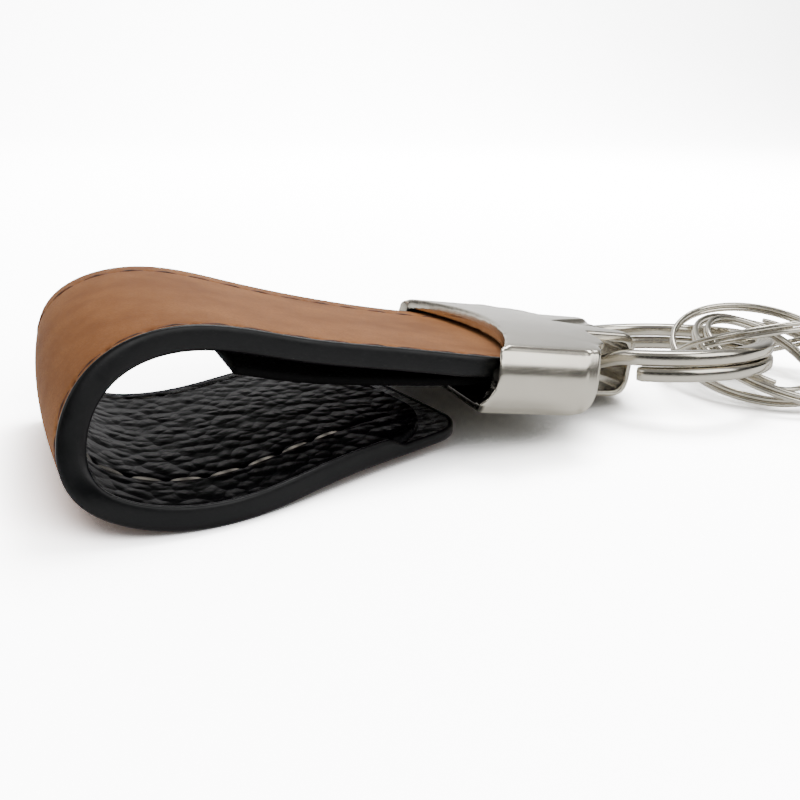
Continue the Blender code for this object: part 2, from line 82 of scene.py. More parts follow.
def add_node(tree: bpy.types.NodeTree, kind: str, inputs: dict | None = None,
             **settings: object) -> bpy.types.Node:
    """Add one shader node with its settings and links.

    Args:
        tree: The material's or world's node tree.
        kind: The node's kind, without its common prefix.
        inputs: Each input's value, or the output socket that feeds it.
        settings: The node's own properties.

    Returns:
        The new node.
    """
    node = tree.nodes.new("ShaderNode" + kind)
    for name, value in settings.items():
        setattr(node, name, value)
    for name, value in (inputs or {}).items():
        if isinstance(value, bpy.types.NodeSocket):
            tree.links.new(value, node.inputs[name])
        else:
            node.inputs[name].default_value = value
    return node


def set_stops(node: bpy.types.Node, stops: list[tuple[float, tuple]]) -> None:
    """Give a colour ramp its stops.

    Args:
        node: The ramp's node.
        stops: Each stop's place from 0 to 1 and its linear colour.
    """
    ramp = node.color_ramp
    while len(ramp.elements) < len(stops):
        ramp.elements.new(1.0)
    for element, (place, colour) in zip(ramp.elements, stops):
        element.position = place
        element.color = colour


def grid_quads(rows: int, columns: int) -> Array:
    """Return the quads of a tube grid whose columns close on themselves.

    Args:
        rows: How many rings the tube has.
        columns: How many points each ring has.

    Returns:
        An array of four vertex numbers for each quad.
    """
    row, column = np.meshgrid(np.arange(rows - 1), np.arange(columns), indexing="ij")
    ahead = (column + 1) % columns
    corners = [row * columns + column, row * columns + ahead,
               (row + 1) * columns + ahead, (row + 1) * columns + column]
    return np.stack(corners, axis=-1).reshape(-1, 4)


def cap_quads(rows: int, columns: int) -> Array:
    """Return the quads that close a tube's two ends, from side to side like a zip.

    Args:
        rows: How many rings the tube has.
        columns: How many points each ring has, an even number.

    Returns:
        An array of four vertex numbers for each quad.
    """
    step = np.arange(columns // 2 - 1)
    first = np.stack([step, columns - 1 - step, columns - 2 - step, step + 1], axis=-1)
    last = first[:, ::-1] + (rows - 1) * columns
    return np.vstack([first, last])


def mesh_piece(name: str, points: Array, quads: Array,
               materials: list[bpy.types.Material]) -> bpy.types.Object:
    """Make a piece from points and quads, with its faces turned outwards.

    The faces are turned by the sign of the enclosed volume, the sum over all faces of
    a . (b x c) / 6 for each triangle's corners a, b and c.

    Args:
        name: The piece's name.
        points: An array of points in metres.
        quads: An array of four vertex numbers for each face.
        materials: The piece's materials, in the order of its slots.

    Returns:
        The piece, at the origin.
    """
    flat = points.reshape(-1, 3)
    a, b, c, d = (flat[quads[:, corner]] for corner in range(4))
    volume = np.einsum("ij,ij->", a, np.cross(b, c)) + np.einsum("ij,ij->", a, np.cross(c, d))
    if volume < 0:
        quads = quads[:, ::-1]
    mesh = bpy.data.meshes.new(name)
    mesh.vertices.add(len(flat))
    mesh.vertices.foreach_set("co", flat.astype(np.float32).ravel())
    mesh.loops.add(quads.size)
    mesh.loops.foreach_set("vertex_index", quads.astype(np.int32).ravel())
    mesh.polygons.add(len(quads))
    mesh.polygons.foreach_set("loop_start", np.arange(0, quads.size, 4, dtype=np.int32))
    mesh.polygons.foreach_set("use_smooth", np.ones(len(quads), dtype=bool))
    mesh.update(calc_edges=True)
    mesh.validate()
    for material in materials:
        mesh.materials.append(material)
    piece = bpy.data.objects.new(name, mesh)
    bpy.context.scene.collection.objects.link(piece)
    return piece


def tube_piece(name: str, rings: Array, materials: list[bpy.types.Material]) -> bpy.types.Object:
    """Make one closed tube, or several in one piece, from their rings of points.

    Args:
        name: The piece's name.
        rings: Points as (rings, points, 3), or (tubes, rings, points, 3).
        materials: The piece's materials.

    Returns:
        The piece, at the origin.
    """
    tubes = rings if rings.ndim == 4 else rings[None]
    count, rows, columns, _ = tubes.shape
    one = np.vstack([grid_quads(rows, columns), cap_quads(rows, columns)])
    quads = (one[None] + (np.arange(count) * rows * columns)[:, None, None]).reshape(-1, 4)
    return mesh_piece(name, tubes, quads, materials)


def add_attribute(piece: bpy.types.Object, name: str, values: Array) -> None:
    """Give each of a piece's points a value that its material reads.

    Args:
        piece: The piece.
        name: The attribute's name.
        values: One number for each point.
    """
    attribute = piece.data.attributes.new(name, "FLOAT", "POINT")
    attribute.data.foreach_set("value", values.astype(np.float32).ravel())


def keep_edges(piece: bpy.types.Object, angle: float) -> None:
    """Keep a piece's real edges sharp and its round faces smooth."""
    piece.data.set_sharp_from_angle(angle=angle)


# Finishes


@dataclass(frozen=True)
class Finish:
    """What every finish shares: a node tree with one Principled shader."""

    name: str

    def start(self) -> tuple[bpy.types.Material, bpy.types.NodeTree, bpy.types.Node]:
        """Start the finish's material.

        Returns:
            The new material, its tree and its shader.
        """
        material = bpy.data.materials.new(self.name)
        material.use_nodes = True
        tree = material.node_tree
        return material, tree, tree.nodes["Principled BSDF"]

    @staticmethod
    def place(tree: bpy.types.NodeTree) -> bpy.types.NodeSocket:
        """Return the piece's own coordinates in metres."""
        return add_node(tree, "TexCoord").outputs["Object"]

    @staticmethod
    def value(tree: bpy.types.NodeTree, name: str) -> bpy.types.NodeSocket:
        """Return one of the piece's point values."""
        return add_node(tree, "Attribute", attribute_name=name).outputs["Fac"]

    @staticmethod
    def blend(tree: bpy.types.NodeTree, share: bpy.types.NodeSocket, first: object,
              second: object) -> bpy.types.NodeSocket:
        """Mix two colours by a share.

        Args:
            tree: The node tree.
            share: The second colour's share.
            first: A colour or the socket that gives it.
            second: A colour or the socket that gives it.

        Returns:
            The mixed colour's socket.
        """
        node = add_node(tree, "Mix", data_type="RGBA")
        for socket, value in ((node.inputs[0], share), (node.inputs[6], first),
                              (node.inputs[7], second)):
            if isinstance(value, bpy.types.NodeSocket):
                tree.links.new(value, socket)
            else:
                socket.default_value = value
        return node.outputs[2]


@dataclass(frozen=True)
class TanLeather(Finish):
    """Vegetable-tanned cowhide, drum dyed and lightly waxed: a fine closed grain, low sheen."""

    light: str = "#a87349"
    deep: str = "#865836"
    # the painted shade in the needle holes
    hole_shade: str = "#4a2a16"
    pore: float = 0.38 * MM
    wrinkle: float = 1.6 * MM
    cloud: float = 9.0 * MM

    def make(self) -> bpy.types.Material:
        """Make the leather: clouded dye, pores, faint wrinkles and painted shade in the needle
        holes.

        Returns:
            The material.
        """
        material, tree, shader = self.start()
        place = self.place(tree)
        cloud = add_node(tree, "TexNoise", {"Vector": place, "Scale": per(self.cloud),
                                            "Detail": 4.0, "Roughness": 0.6})
        tone = add_node(tree, "MapRange", {"Value": cloud.outputs["Fac"], "From Min": 0.35,
                                           "From Max": 0.68})
        dyed = self.blend(tree, tone.outputs["Result"], linear(self.deep), linear(self.light))
        grain = add_node(tree, "TexVoronoi", {"Vector": place, "Scale": per(self.pore),
                                              "Randomness": 1.0}, feature="DISTANCE_TO_EDGE")
        pores = add_node(tree, "MapRange", {"Value": grain.outputs["Distance"], "From Min": 0.0,
                                            "From Max": 0.16, "To Min": 0.5, "To Max": 0.0})
        grained = self.blend(tree, pores.outputs["Result"], dyed, linear(self.deep))
        # painted shade: darker in the needle holes, by the ply's "needle" value
        holed = self.blend(tree, self.value(tree, "needle"), grained, linear(self.hole_shade))
        tree.links.new(holed, shader.inputs["Base Color"])
        shader.inputs["Roughness"].default_value = 0.62
        shader.inputs["IOR"].default_value = 1.45
        shader.inputs["Specular IOR Level"].default_value = 0.08
        self.relief(tree, shader, place, grain)
        return material

    def relief(self, tree: bpy.types.NodeTree, shader: bpy.types.Node,
               place: bpy.types.NodeSocket, grain: bpy.types.Node) -> None:
        """Add the pores' and wrinkles' bump to the shader.

        Args:
            tree: The node tree.
            shader: Its shader.
            place: The piece's own coordinates.
            grain: The pores' pattern.
        """
        crease = add_node(tree, "TexNoise", {"Vector": place, "Scale": per(self.wrinkle),
                                             "Detail": 5.0, "Roughness": 0.65,
                                             "Distortion": 0.6})
        fold = add_node(tree, "Bump", {"Height": crease.outputs["Fac"], "Strength": 0.2,
                                       "Distance": 0.08 * MM})
        skin = add_node(tree, "Bump", {"Height": grain.outputs["Distance"], "Strength": 0.5,
                                       "Distance": 0.05 * MM, "Normal": fold.outputs["Normal"]})
        tree.links.new(skin.outputs["Normal"], shader.inputs["Normal"])


@dataclass(frozen=True)
class PebbledLeather(Finish):
    """Drum-milled black cowhide: round pebbles about a millimetre wide, with painted shade in their
    valleys.
    """

    crown: str = "#070708"
    # the painted shade in the valleys between the pebbles
    valley_shade: str = "#010102"
    pebble: float = 1.25 * MM
    depth: float = 0.30 * MM

    def make(self) -> bpy.types.Material:
        """Make the leather: pebbles bent out of line, with fine creases on them.

        Returns:
            The material.
        """
        material, tree, shader = self.start()
        place = self.place(tree)
        drift = add_node(tree, "TexNoise", {"Vector": place, "Scale": per(2.2 * MM),
                                            "Detail": 2.0})
        offset = add_node(tree, "VectorMath", {0: drift.outputs["Color"], 1: (0.8 * MM,) * 3},
                          operation="MULTIPLY")
        bent = add_node(tree, "VectorMath", {0: place, 1: offset.outputs["Vector"]},
                        operation="ADD")
        cells = add_node(tree, "TexVoronoi", {"Vector": bent.outputs["Vector"],
                                              "Scale": per(self.pebble), "Smoothness": 0.25},
                         feature="SMOOTH_F1")
        small = add_node(tree, "TexVoronoi", {"Vector": bent.outputs["Vector"],
                                              "Scale": per(self.pebble * 0.45)},
                         feature="DISTANCE_TO_EDGE")
        # painted shade: darker in the valleys between the pebbles than on their crowns
        tint = add_node(tree, "MapRange", {"Value": cells.outputs["Distance"], "From Min": 0.1,
                                           "From Max": 0.62})
        tree.links.new(self.blend(tree, tint.outputs["Result"], linear(self.crown),
                                  linear(self.valley_shade)), shader.inputs["Base Color"])
        shader.inputs["Roughness"].default_value = 0.38
        shader.inputs["Specular IOR Level"].default_value = 0.06
        mound = add_node(tree, "Bump", {"Height": cells.outputs["Distance"], "Strength": 1.0,
                                        "Distance": self.depth}, invert=True)
        crease = add_node(tree, "Bump", {"Height": small.outputs["Distance"], "Strength": 0.45,
                                         "Distance": 0.06 * MM,
                                         "Normal": mound.outputs["Normal"]})
        tree.links.new(crease.outputs["Normal"], shader.inputs["Normal"])
        return material


@dataclass(frozen=True)
class EdgePaint(Finish):
    """Acrylic edge paint, brushed on in coats and rolled: black, smooth, softly glossy."""

    colour: str = "#08080a"
    ripple: float = 2.4 * MM

    def make(self) -> bpy.types.Material:
        """Make the paint: a dark coat with a slow ripple and dusty patches.

        Returns:
            The material.
        """
        material, tree, shader = self.start()
        place = self.place(tree)
        patch = add_node(tree, "TexNoise", {"Vector": place, "Scale": per(self.ripple),
                                            "Detail": 4.0, "Roughness": 0.6})
        dull = add_node(tree, "MapRange", {"Value": patch.outputs["Fac"], "From Min": 0.3,
                                           "From Max": 0.7, "To Min": 0.3, "To Max": 0.46})
        tree.links.new(dull.outputs["Result"], shader.inputs["Roughness"])
        shade = self.blend(tree, patch.outputs["Fac"], linear("#050506"), linear(self.colour))
        tree.links.new(shade, shader.inputs["Base Color"])
        shader.inputs["Specular IOR Level"].default_value = 0.24
        wave = add_node(tree, "Bump", {"Height": patch.outputs["Fac"], "Strength": 0.35,
                                       "Distance": 0.10 * MM})
        tree.links.new(wave.outputs["Normal"], shader.inputs["Normal"])
        return material


@dataclass(frozen=True)
class CreasedBacking(Finish):
    """The outer ply's flesh side, sized black: creases whose glossy ridges carry a painted grey
    highlight, black between.
    """

    # the painted highlight on the crease ridges
    colour: str = "#565658"
    crease: float = 1.3 * MM

    def make(self) -> bpy.types.Material:
        """Make the backing: stretched creases with a painted highlight on their ridges.

        Returns:
            The material.
        """
        material, tree, shader = self.start()
        place = self.place(tree)
        turned = add_node(tree, "Mapping", {"Vector": place,
                                            "Rotation": (0.0, 0.0, radians(-28)),
                                            "Scale": (1.0, 3.2, 1.0)})
        folds = add_node(tree, "TexNoise", {"Vector": turned.outputs["Vector"],
                                            "Scale": per(self.crease), "Detail": 4.0,
                                            "Roughness": 0.6, "Distortion": 0.5})
        ridge = add_node(tree, "MapRange", {"Value": folds.outputs["Fac"], "From Min": 0.48,
                                            "From Max": 0.68}).outputs["Result"]
        # painted highlight: grey on the crease ridges over the black
        tint = self.blend(tree, ridge, linear("#030304"), linear(self.colour))
        tree.links.new(tint, shader.inputs["Base Color"])
        shader.inputs["Roughness"].default_value = 0.34
        shader.inputs["Specular IOR Level"].default_value = 0.5
        bump = add_node(tree, "Bump", {"Height": ridge, "Strength": 1.0, "Distance": 0.3 * MM})
        tree.links.new(bump.outputs["Normal"], shader.inputs["Normal"])
        return material


@dataclass(frozen=True)
class Suede(Finish):
    """Black split leather, flesh side out: it drinks the light, with only a faint nap."""

    colour: str = "#050505"
    nap: float = 0.5 * MM

    def make(self) -> bpy.types.Material:
        """Make the split leather: a dead matt nap in two near blacks.

        Returns:
            The material.
        """
        material, tree, shader = self.start()
        nap = add_node(tree, "TexNoise", {"Vector": self.place(tree), "Scale": per(self.nap),
                                          "Detail": 4.0, "Roughness": 0.7})
        tree.links.new(self.blend(tree, nap.outputs["Fac"], linear("#020202"), linear(self.colour)),
                       shader.inputs["Base Color"])
        shader.inputs["Roughness"].default_value = 0.85
        shader.inputs["Specular IOR Level"].default_value = 0.12
        bump = add_node(tree, "Bump", {"Height": nap.outputs["Fac"], "Strength": 0.4,
                                       "Distance": 0.08 * MM})
        tree.links.new(bump.outputs["Normal"], shader.inputs["Normal"])
        return material


@dataclass(frozen=True)
class Thread(Finish):
    """Bonded polyester thread, three strands laid together, drawn coarse so that it shows."""

    colour: str = "#6a3f22"
    strand: float = 0.5 * MM

    def make(self) -> bpy.types.Material:
        """Make the thread: slanting strands with painted shade in the lines between them.

        Returns:
            The material.
        """
        material, tree, shader = self.start()
        place = self.place(tree)
        lay = add_node(tree, "TexWave", {"Vector": place, "Scale": per(self.strand) / (2 * pi),
                                         "Distortion": 1.2}, bands_direction="DIAGONAL")
        # painted shade in the grooves between the strands
        strand_gap_shade = tuple(0.35 * part for part in linear(self.colour)[:3]) + (1.0,)
        tint = self.blend(tree, lay.outputs["Fac"], strand_gap_shade, linear(self.colour))
        tree.links.new(tint, shader.inputs["Base Color"])
        shader.inputs["Roughness"].default_value = 0.6
        bump = add_node(tree, "Bump", {"Height": lay.outputs["Fac"], "Strength": 0.5,
                                       "Distance": 0.05 * MM})
        tree.links.new(bump.outputs["Normal"], shader.inputs["Normal"])
        return material


class Polish(Enum):
    """How far nickel is polished: its least and most roughness, and its brush depth in mm."""

    SATIN = (0.17, 0.24, 0.0025)
    BRIGHT = (0.15, 0.22, 0.002)


@dataclass(frozen=True)
class Nickel(Finish):
    """Nickel plate on zinc or steel: warm grey, brushed along one way, with a few nicks.

    Where a piece's "dull" value is 1 its colour is darkened to near black, a painted shade for the
    hollows that lie in shade, and where its "polished" value is 1 the surface is twice as smooth.
    A piece without these values has neither.
    """

    polish: Polish = Polish.SATIN
    colour: str = "#d2cdc0"
    shade: str = "#c2bcae"
    # the painted shade's near black, laid where a piece's "dull" value is 1
    recess_shade: str = "#191816"
    brush: float = 0.16 * MM
    slant: tuple[float, float, float] = (0.0, 0.0, 0.0)
    nicks: bool = True

    def make(self) -> bpy.types.Material:
        """Make the plate: brush lines in the roughness and bump, and small pits.

        Returns:
            The material.
        """
        material, tree, shader = self.start()
        place = self.place(tree)
        least, most, depth = self.polish.value
        along = add_node(tree, "Mapping", {"Vector": place, "Rotation": self.slant,
                                           "Scale": (0.035, 1.0, 1.0)})
        lines = add_node(tree, "TexNoise", {"Vector": along.outputs["Vector"],
                                            "Scale": per(self.brush), "Detail": 3.0})
        smear = add_node(tree, "TexNoise", {"Vector": place, "Scale": per(4.5 * MM),
                                            "Detail": 3.0, "Roughness": 0.6})
        worn = add_node(tree, "Math", {0: lines.outputs["Fac"], 1: smear.outputs["Fac"]},
                        operation="ADD")
        rough = add_node(tree, "MapRange", {"Value": worn.outputs["Value"], "From Min": 0.7,
                                            "From Max": 1.3, "To Min": least, "To Max": most})
        keen = add_node(tree, "MapRange", {"Value": self.value(tree, "polished"), "To Min": 1.0,
                                           "To Max": 0.5})
        finish = add_node(tree, "Math", {0: rough.outputs["Result"], 1: keen.outputs["Result"]},
                          operation="MULTIPLY")
        tree.links.new(finish.outputs["Value"], shader.inputs["Roughness"])
        shader.inputs["Metallic"].default_value = 1.0
        tint = self.blend(tree, smear.outputs["Fac"], linear(self.colour), linear(self.shade))
        # painted shade: near black where the piece's "dull" value is 1
        tint = self.blend(tree, self.value(tree, "dull"), tint, linear(self.recess_shade))
        tree.links.new(tint, shader.inputs["Base Color"])
        scratch = add_node(tree, "Bump", {"Height": lines.outputs["Fac"], "Strength": 0.5,
                                          "Distance": depth * MM})
        tree.links.new(self.pits(tree, place, scratch), shader.inputs["Normal"])
        return material

    def pits(self, tree: bpy.types.NodeTree, place: bpy.types.NodeSocket,
             below: bpy.types.Node) -> bpy.types.NodeSocket:
        """Lay a few shallow pits, about 5 mm apart, over the brush lines.

        Args:
            tree: The node tree.
            place: The piece's own coordinates.
            below: The brush lines' bump.

        Returns:
            The normal's socket.
        """
        if not self.nicks:
            return below.outputs["Normal"]
        spots = add_node(tree, "TexVoronoi", {"Vector": place, "Scale": per(5.0 * MM)})
        dent = add_node(tree, "MapRange", {"Value": spots.outputs["Distance"],
                                           "From Min": 0.02, "From Max": 0.06})
        bump = add_node(tree, "Bump", {"Height": dent.outputs["Result"], "Strength": 0.5,
                                       "Distance": 0.04 * MM,
                                       "Normal": below.outputs["Normal"]})
        return bump.outputs["Normal"]


@dataclass(frozen=True)
class StudioPaper(Finish):
    """Matt white seamless paper, exposed brighter for the eye than for the light that it throws.

    It is staging alone. Near the clip it darkens itself by ambient occlusion, a painted shadow that
    deepens the real one under the clip.
    """

    colour: str = "#f6f6f6"
    exposed: float = 8.5
    # the painted shadow's reach, and its darkest share
    contact: float = 12.0 * MM
    shaded: float = 0.06

    def make(self) -> bpy.types.Material:
        """Make the paper: faint fibres, a brighter sheet where it is looked at, and a painted
        shadow near the clip.

        Returns:
            The material.
        """
        material, tree, shader = self.start()
        fibre = add_node(tree, "TexNoise", {"Vector": self.place(tree), "Scale": per(1.5 * MM)})
        tint = self.blend(tree, fibre.outputs["Fac"], linear(self.colour), linear("#fafafa"))
        seen = add_node(tree, "LightPath").outputs["Is Camera Ray"]
        # painted shadow: the paper darkens where ambient occlusion finds the clip near
        near = add_node(tree, "AmbientOcclusion", {"Distance": self.contact}, samples=16)
        open_sky = add_node(tree, "MapRange", {"Value": near.outputs["AO"], "From Min": 0.25,
                                               "From Max": 0.9}, interpolation_type="SMOOTHSTEP")
        looked_at = self.blend(tree, open_sky.outputs["Result"],
                               (self.exposed * self.shaded,) * 3 + (1.0,),
                               (self.exposed,) * 3 + (1.0,))
        sheet = self.blend(tree, seen, tint, looked_at)
        matt = add_node(tree, "BsdfDiffuse", {"Color": sheet})
        tree.links.new(matt.outputs["BSDF"], tree.nodes["Material Output"].inputs["Surface"])
        tree.nodes.remove(shader)
        return material


@dataclass(frozen=True)
class Finishes:
    """Every finish on the clip, made once."""

    tan: bpy.types.Material = field(default_factory=TanLeather("tan_cowhide").make)
    pebbled: bpy.types.Material = field(default_factory=PebbledLeather("black_milled_cowhide").make)
    paint: bpy.types.Material = field(default_factory=EdgePaint("black_edge_paint").make)
    backing: bpy.types.Material = field(default_factory=CreasedBacking("black_backing").make)
    suede: bpy.types.Material = field(default_factory=Suede("black_split_suede").make)
    brown_thread: bpy.types.Material = field(default_factory=Thread("brown_thread").make)
    grey_thread: bpy.types.Material = field(
        default_factory=Thread("grey_thread", colour="#99948b").make)
    satin: bpy.types.Material = field(
        default_factory=Nickel("satin_nickel_plate", slant=(0.0, radians(-7.3), 0.0)).make)
    bright: bpy.types.Material = field(
        default_factory=Nickel("bright_nickel_plate", polish=Polish.BRIGHT, nicks=False).make)


# Where the clip lies


@dataclass(frozen=True)
class ClipPlace:
    """The head's own frame, and the clip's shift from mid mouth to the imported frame."""

    mouth_height: float = 8.0 * MM
    tilt: float = radians(7.3)
    roll: float = radians(5.4)
    bail_seat: tuple[float, float, float] = (15.30 * MM, 0.0, -1.90 * MM)

    def head_in_clip(self) -> Matrix:
        """Return the head's frame before the shift: tilted nose down, rolled far side down."""
        turn = Euler((-self.roll, self.tilt, 0.0)).to_matrix().to_4x4()
        return Matrix.Translation((0.0, 0.0, self.mouth_height)) @ turn

    def hinge(self) -> Vector:
        """Return the main ring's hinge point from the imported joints."""
        joint = next(j for j in frame["joints"] if j["name"] == "main_ring_swing")
        return Vector(joint["pos_m"])

    def shift(self) -> Vector:
        """Return the shift that puts the head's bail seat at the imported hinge."""
        return self.hinge() - self.head_in_clip() @ Vector(self.bail_seat)

    def head(self) -> Matrix:
        """Return the head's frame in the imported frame."""
        return Matrix.Translation(self.shift()) @ self.head_in_clip()


# The strap


class EdgeCurve:
    """A natural cubic spline through guide points, read by arc length in metres."""

    SAMPLES = 60

    def __init__(self, guides: Array) -> None:
        """Lay the spline: between guides it is the cubic Hermite blend of places and slopes.

        Args:
            guides: The guide points.
        """
        steps = np.linalg.norm(np.diff(guides, axis=0), axis=1)
        knots = np.concatenate([[0.0], np.cumsum(steps)])
        slopes = self.slopes(guides, knots)
        share = np.linspace(0.0, 1.0, self.SAMPLES, endpoint=False)[None, :, None]
        start, end = guides[:-1, None], guides[1:, None]
        spans = steps[:, None, None]
        leave, arrive = slopes[:-1, None] * spans, slopes[1:, None] * spans
        square, cube = share ** 2, share ** 3
        runs = ((2 * cube - 3 * square + 1) * start + (cube - 2 * square + share) * leave
                + (3 * square - 2 * cube) * end + (cube - square) * arrive)
        self.points = np.vstack([runs.reshape(-1, 3), guides[-1:]])
        lengths = np.linalg.norm(np.diff(self.points, axis=0), axis=1)
        self.arc = np.concatenate([[0.0], np.cumsum(lengths)])
        self.length = float(self.arc[-1])

    @staticmethod
    def slopes(guides: Array, knots: Array) -> Array:
        """Return the spline's slope at each guide, free of bending at both ends.

        Args:
            guides: The guide points.
            knots: Each guide's distance along the guides.

        Returns:
            One slope for each guide.
        """
        gaps = np.diff(knots)
        chords = np.diff(guides, axis=0) / gaps[:, None]
        count = len(guides)
        system = np.zeros((count, count))
        right = np.zeros_like(guides)
        inner = np.arange(1, count - 1)
        system[inner, inner - 1] = gaps[1:]
        system[inner, inner] = 2.0 * (gaps[:-1] + gaps[1:])
        system[inner, inner + 1] = gaps[:-1]
        right[inner] = 3.0 * (gaps[1:, None] * chords[:-1] + gaps[:-1, None] * chords[1:])
        system[0, :2], system[-1, -2:] = (2.0, 1.0), (1.0, 2.0)
        right[0], right[-1] = 3.0 * chords[0], 3.0 * chords[-1]
        return np.linalg.solve(system, right)

    def at(self, share: Array) -> Array:
        """Return the points at shares of the curve's length.

        Args:
            share: Shares from 0 to 1.

        Returns:
            The points, in the shape of the shares.
        """
        place = np.asarray(share) * self.length
        return np.stack([np.interp(place, self.arc, self.points[:, axis]) for axis in range(3)],
                        axis=-1)


@dataclass
class StrapLoop:
    """The strap: one ruled sheet between two edge curves, dressed as plies, paint and thread.

    Pairs of margins and threads are for the near and the far row of stitches. The stops say how
    far short of the end a row ends. The needle is the share of a stitch that each hole hides. The
    groove is its depth and width in millimetres, and the dimple its depth, width and length. The
    painted bead thins to the outer ply's edge from the first length before the end, over the
    second. The two sets of shares are the edges' guides, as shares of reach, width and rise.
    """

    place: ClipPlace
    finishes: Finishes
    width: float = 26.0 * MM
    insert: float = 8.3 * MM
    reach: float = 39.0 * MM
    rise: float = 14.5 * MM
    outer_ply: float = 1.0 * MM
    strap_thick: float = 2.0 * MM
    keeper_depth: float = 2.3 * MM
    keeper_thick: float = 0.75 * MM
    keeper_margin: float = 1.8 * MM
    keeper_end: float = 30.7 * MM
    keeper_sag: float = 1.2 * MM
    keeper_slant: float = 3.0 * MM
    end_radius: float = 3.2 * MM
    lining_radius: float = 6.0 * MM
    lining_setback: float = 3.0 * MM
    swell: float = 1.1 * MM
    swell_place: float = 47.0 * MM
    swell_spread: float = 9.0 * MM
    tan_margins: tuple[float, float] = (1.0 * MM, 3.2 * MM)
    lining_margins: tuple[float, float] = (5.0 * MM, 1.6 * MM)
    stitch_pitch: float = 3.4 * MM
    tan_threads: tuple[float, float] = (0.09 * MM, 0.13 * MM)
    lining_threads: tuple[float, float] = (0.15 * MM, 0.10 * MM)
    row_spacing: float = 0.22 * MM
    edge_inset: float = 0.15 * MM
    edge_softness: float = 0.3
    keeper_softness: float = 0.22 * MM
    holes_stop: float = 1.6 * MM
    tan_row_stop: float = 2.0 * MM
    lining_row_stop: float = 4.0 * MM
    thread_seat: float = 0.1 * MM
    needle: float = 0.09
    groove: tuple[float, float] = (0.08, 0.3)
    dimple: tuple[float, float, float] = (0.16, 0.2, 0.24)
    bead: float = 0.34 * MM
    bead_spacing: float = 0.3 * MM
    bead_proud: float = 0.03 * MM
    bead_thins: tuple[float, float] = (9.8 * MM, 2.4 * MM)
    near_shares: Rows = (
        (-0.226, -0.512, 0.745), (-0.456, -0.546, 0.869), (-0.695, -0.608, 1.000),
        (-0.877, -0.700, 0.800), (-0.913, -0.785, 0.262), (-0.705, -0.823, 0.014),
        (-0.390, -0.658, 0.045), (-0.108, -0.465, 0.060), (-0.026, -0.408, 0.068))
    far_shares: Rows = (
        (-0.272, 0.485, 0.607), (-0.541, 0.446, 0.807), (-0.813, 0.373, 0.959),
        (-0.997, 0.285, 0.738), (-0.977, 0.212, 0.152), (-0.772, 0.177, 0.007),
        (-0.554, 0.312, 0.014), (-0.323, 0.485, 0.028), (-0.244, 0.546, 0.038))

    def __post_init__(self) -> None:
        """Lay both edge curves and take the strap's length midway between theirs."""
        self.near = EdgeCurve(self.guides(-1, self.near_shares))
        self.far = EdgeCurve(self.guides(1, self.far_shares))
        self.length = (self.near.length + self.far.length) / 2

    def guides(self, side: int, shares: Rows) -> Array:
        """Return one edge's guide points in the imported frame.

        Args:
            side: -1 for the near edge and 1 for the far one.
            shares: The guides after the mouth, as shares of reach, width and rise.

        Returns:
            The guide points, from inside the head to the free end.
        """
        head, half = self.place.head_in_clip(), side * self.width / 2
        first = [tuple(head @ Vector((depth, half, 0.0))) for depth in (self.insert, 0.0)]
        rest = np.array(shares) * np.array((self.reach, self.width, self.rise))
        return np.vstack([np.array(first), rest]) + np.array(self.place.shift())

    def face(self, along: Array, across: Array) -> Array:
        """Return the outer face's points: (1 - v) near(u) + v far(u) at shares u and v."""
        share = across[..., None]
        return (1.0 - share) * self.near.at(along) + share * self.far.at(along)

    def outward(self, along: Array, across: Array) -> Array:
        """Return the unit normals: the ruling crossed with the run along the strap.

        Args:
            along: Shares along the strap.
            across: Shares across it.

        Returns:
            The unit normals.
        """
        step = 0.004  # the run's half length, as a share of the strap
        run = (self.face(np.minimum(along + step, 1.0), across)
               - self.face(np.maximum(along - step, 0.0), across))
        ruling = self.far.at(along) - self.near.at(along)
        normal = np.cross(ruling, run)
        return normal / np.linalg.norm(normal, axis=-1, keepdims=True)

    def swelling(self, along: Array, across: Array) -> Array:
        """Return how far the bend stands proud: w 4 v (1 - v) exp(-((s - s0) / spread)^2).

        Args:
            along: Shares along the strap, s when times its length.
            across: Shares across it, v.

        Returns:
            The heights in metres.
        """
        fall = np.exp(-((along * self.length - self.swell_place) / self.swell_spread) ** 2)
        return self.swell * 4.0 * np.clip(across * (1.0 - across), 0.0, 1.0) * fall

    def inside(self, along: Array, side: Array, depth: Array) -> Array:
        """Return points at metres along the strap, metres from its middle, and a depth.

        Args:
            along: Metres from the end in the head.
            side: Metres from the middle, towards the far edge.
            depth: Metres below the outer face.

        Returns:
            The points, in the shape of the arguments.
        """
        along, side, depth = np.broadcast_arrays(along, side, depth)
        u, v = along / self.length, 0.5 + side / self.width
        return self.face(u, v) + (self.swelling(u, v) - depth)[..., None] * self.outward(u, v)

    def rows(self, end: float, radius: float, step: float, inset: float) -> tuple[Array, Array]:
        """Return each row's place and half width, for a band with rounded end corners.

        Args:
            end: The band's end in metres.
            radius: Its corners' radius.
            step: The rows' spacing.
            inset: How far the band's edges lie inside the strap's.

        Returns:
            The rows' places along the strap and their half widths.
        """
        straight = np.linspace(0.0, end - radius, round((end - radius) / step) + 1)
        turn = np.linspace(0.0, pi / 2, 24)[1:]
        places = np.concatenate([straight, end - radius + radius * np.sin(turn)])
        half = self.width / 2 - inset
        halves = np.concatenate([np.full(len(straight), half),
                                 half - radius * (1.0 - np.cos(turn))])
        return places, halves

    def columns(self, margins: tuple[float, float]) -> Array:
        """Return the places across a face, closer together along the stitch rows.

        Args:
            margins: How far the near and far rows lie from their edges.

        Returns:
            Places from -1 at the near edge to 1 at the far one.
        """
        near, far = (1.0 - margin / (self.width / 2) for margin in margins)
        dense = np.linspace(-0.05, 0.05, 13)
        even = np.linspace(-1.0, 1.0, 41)
        return np.unique(np.round(np.concatenate([even, far + dense, -near + dense]), 5))

    def hole_places(self, end: float) -> Array:
        """Return the needle holes' places along the strap."""
        return np.arange(self.insert / 2, end - self.stitch_pitch, self.stitch_pitch)

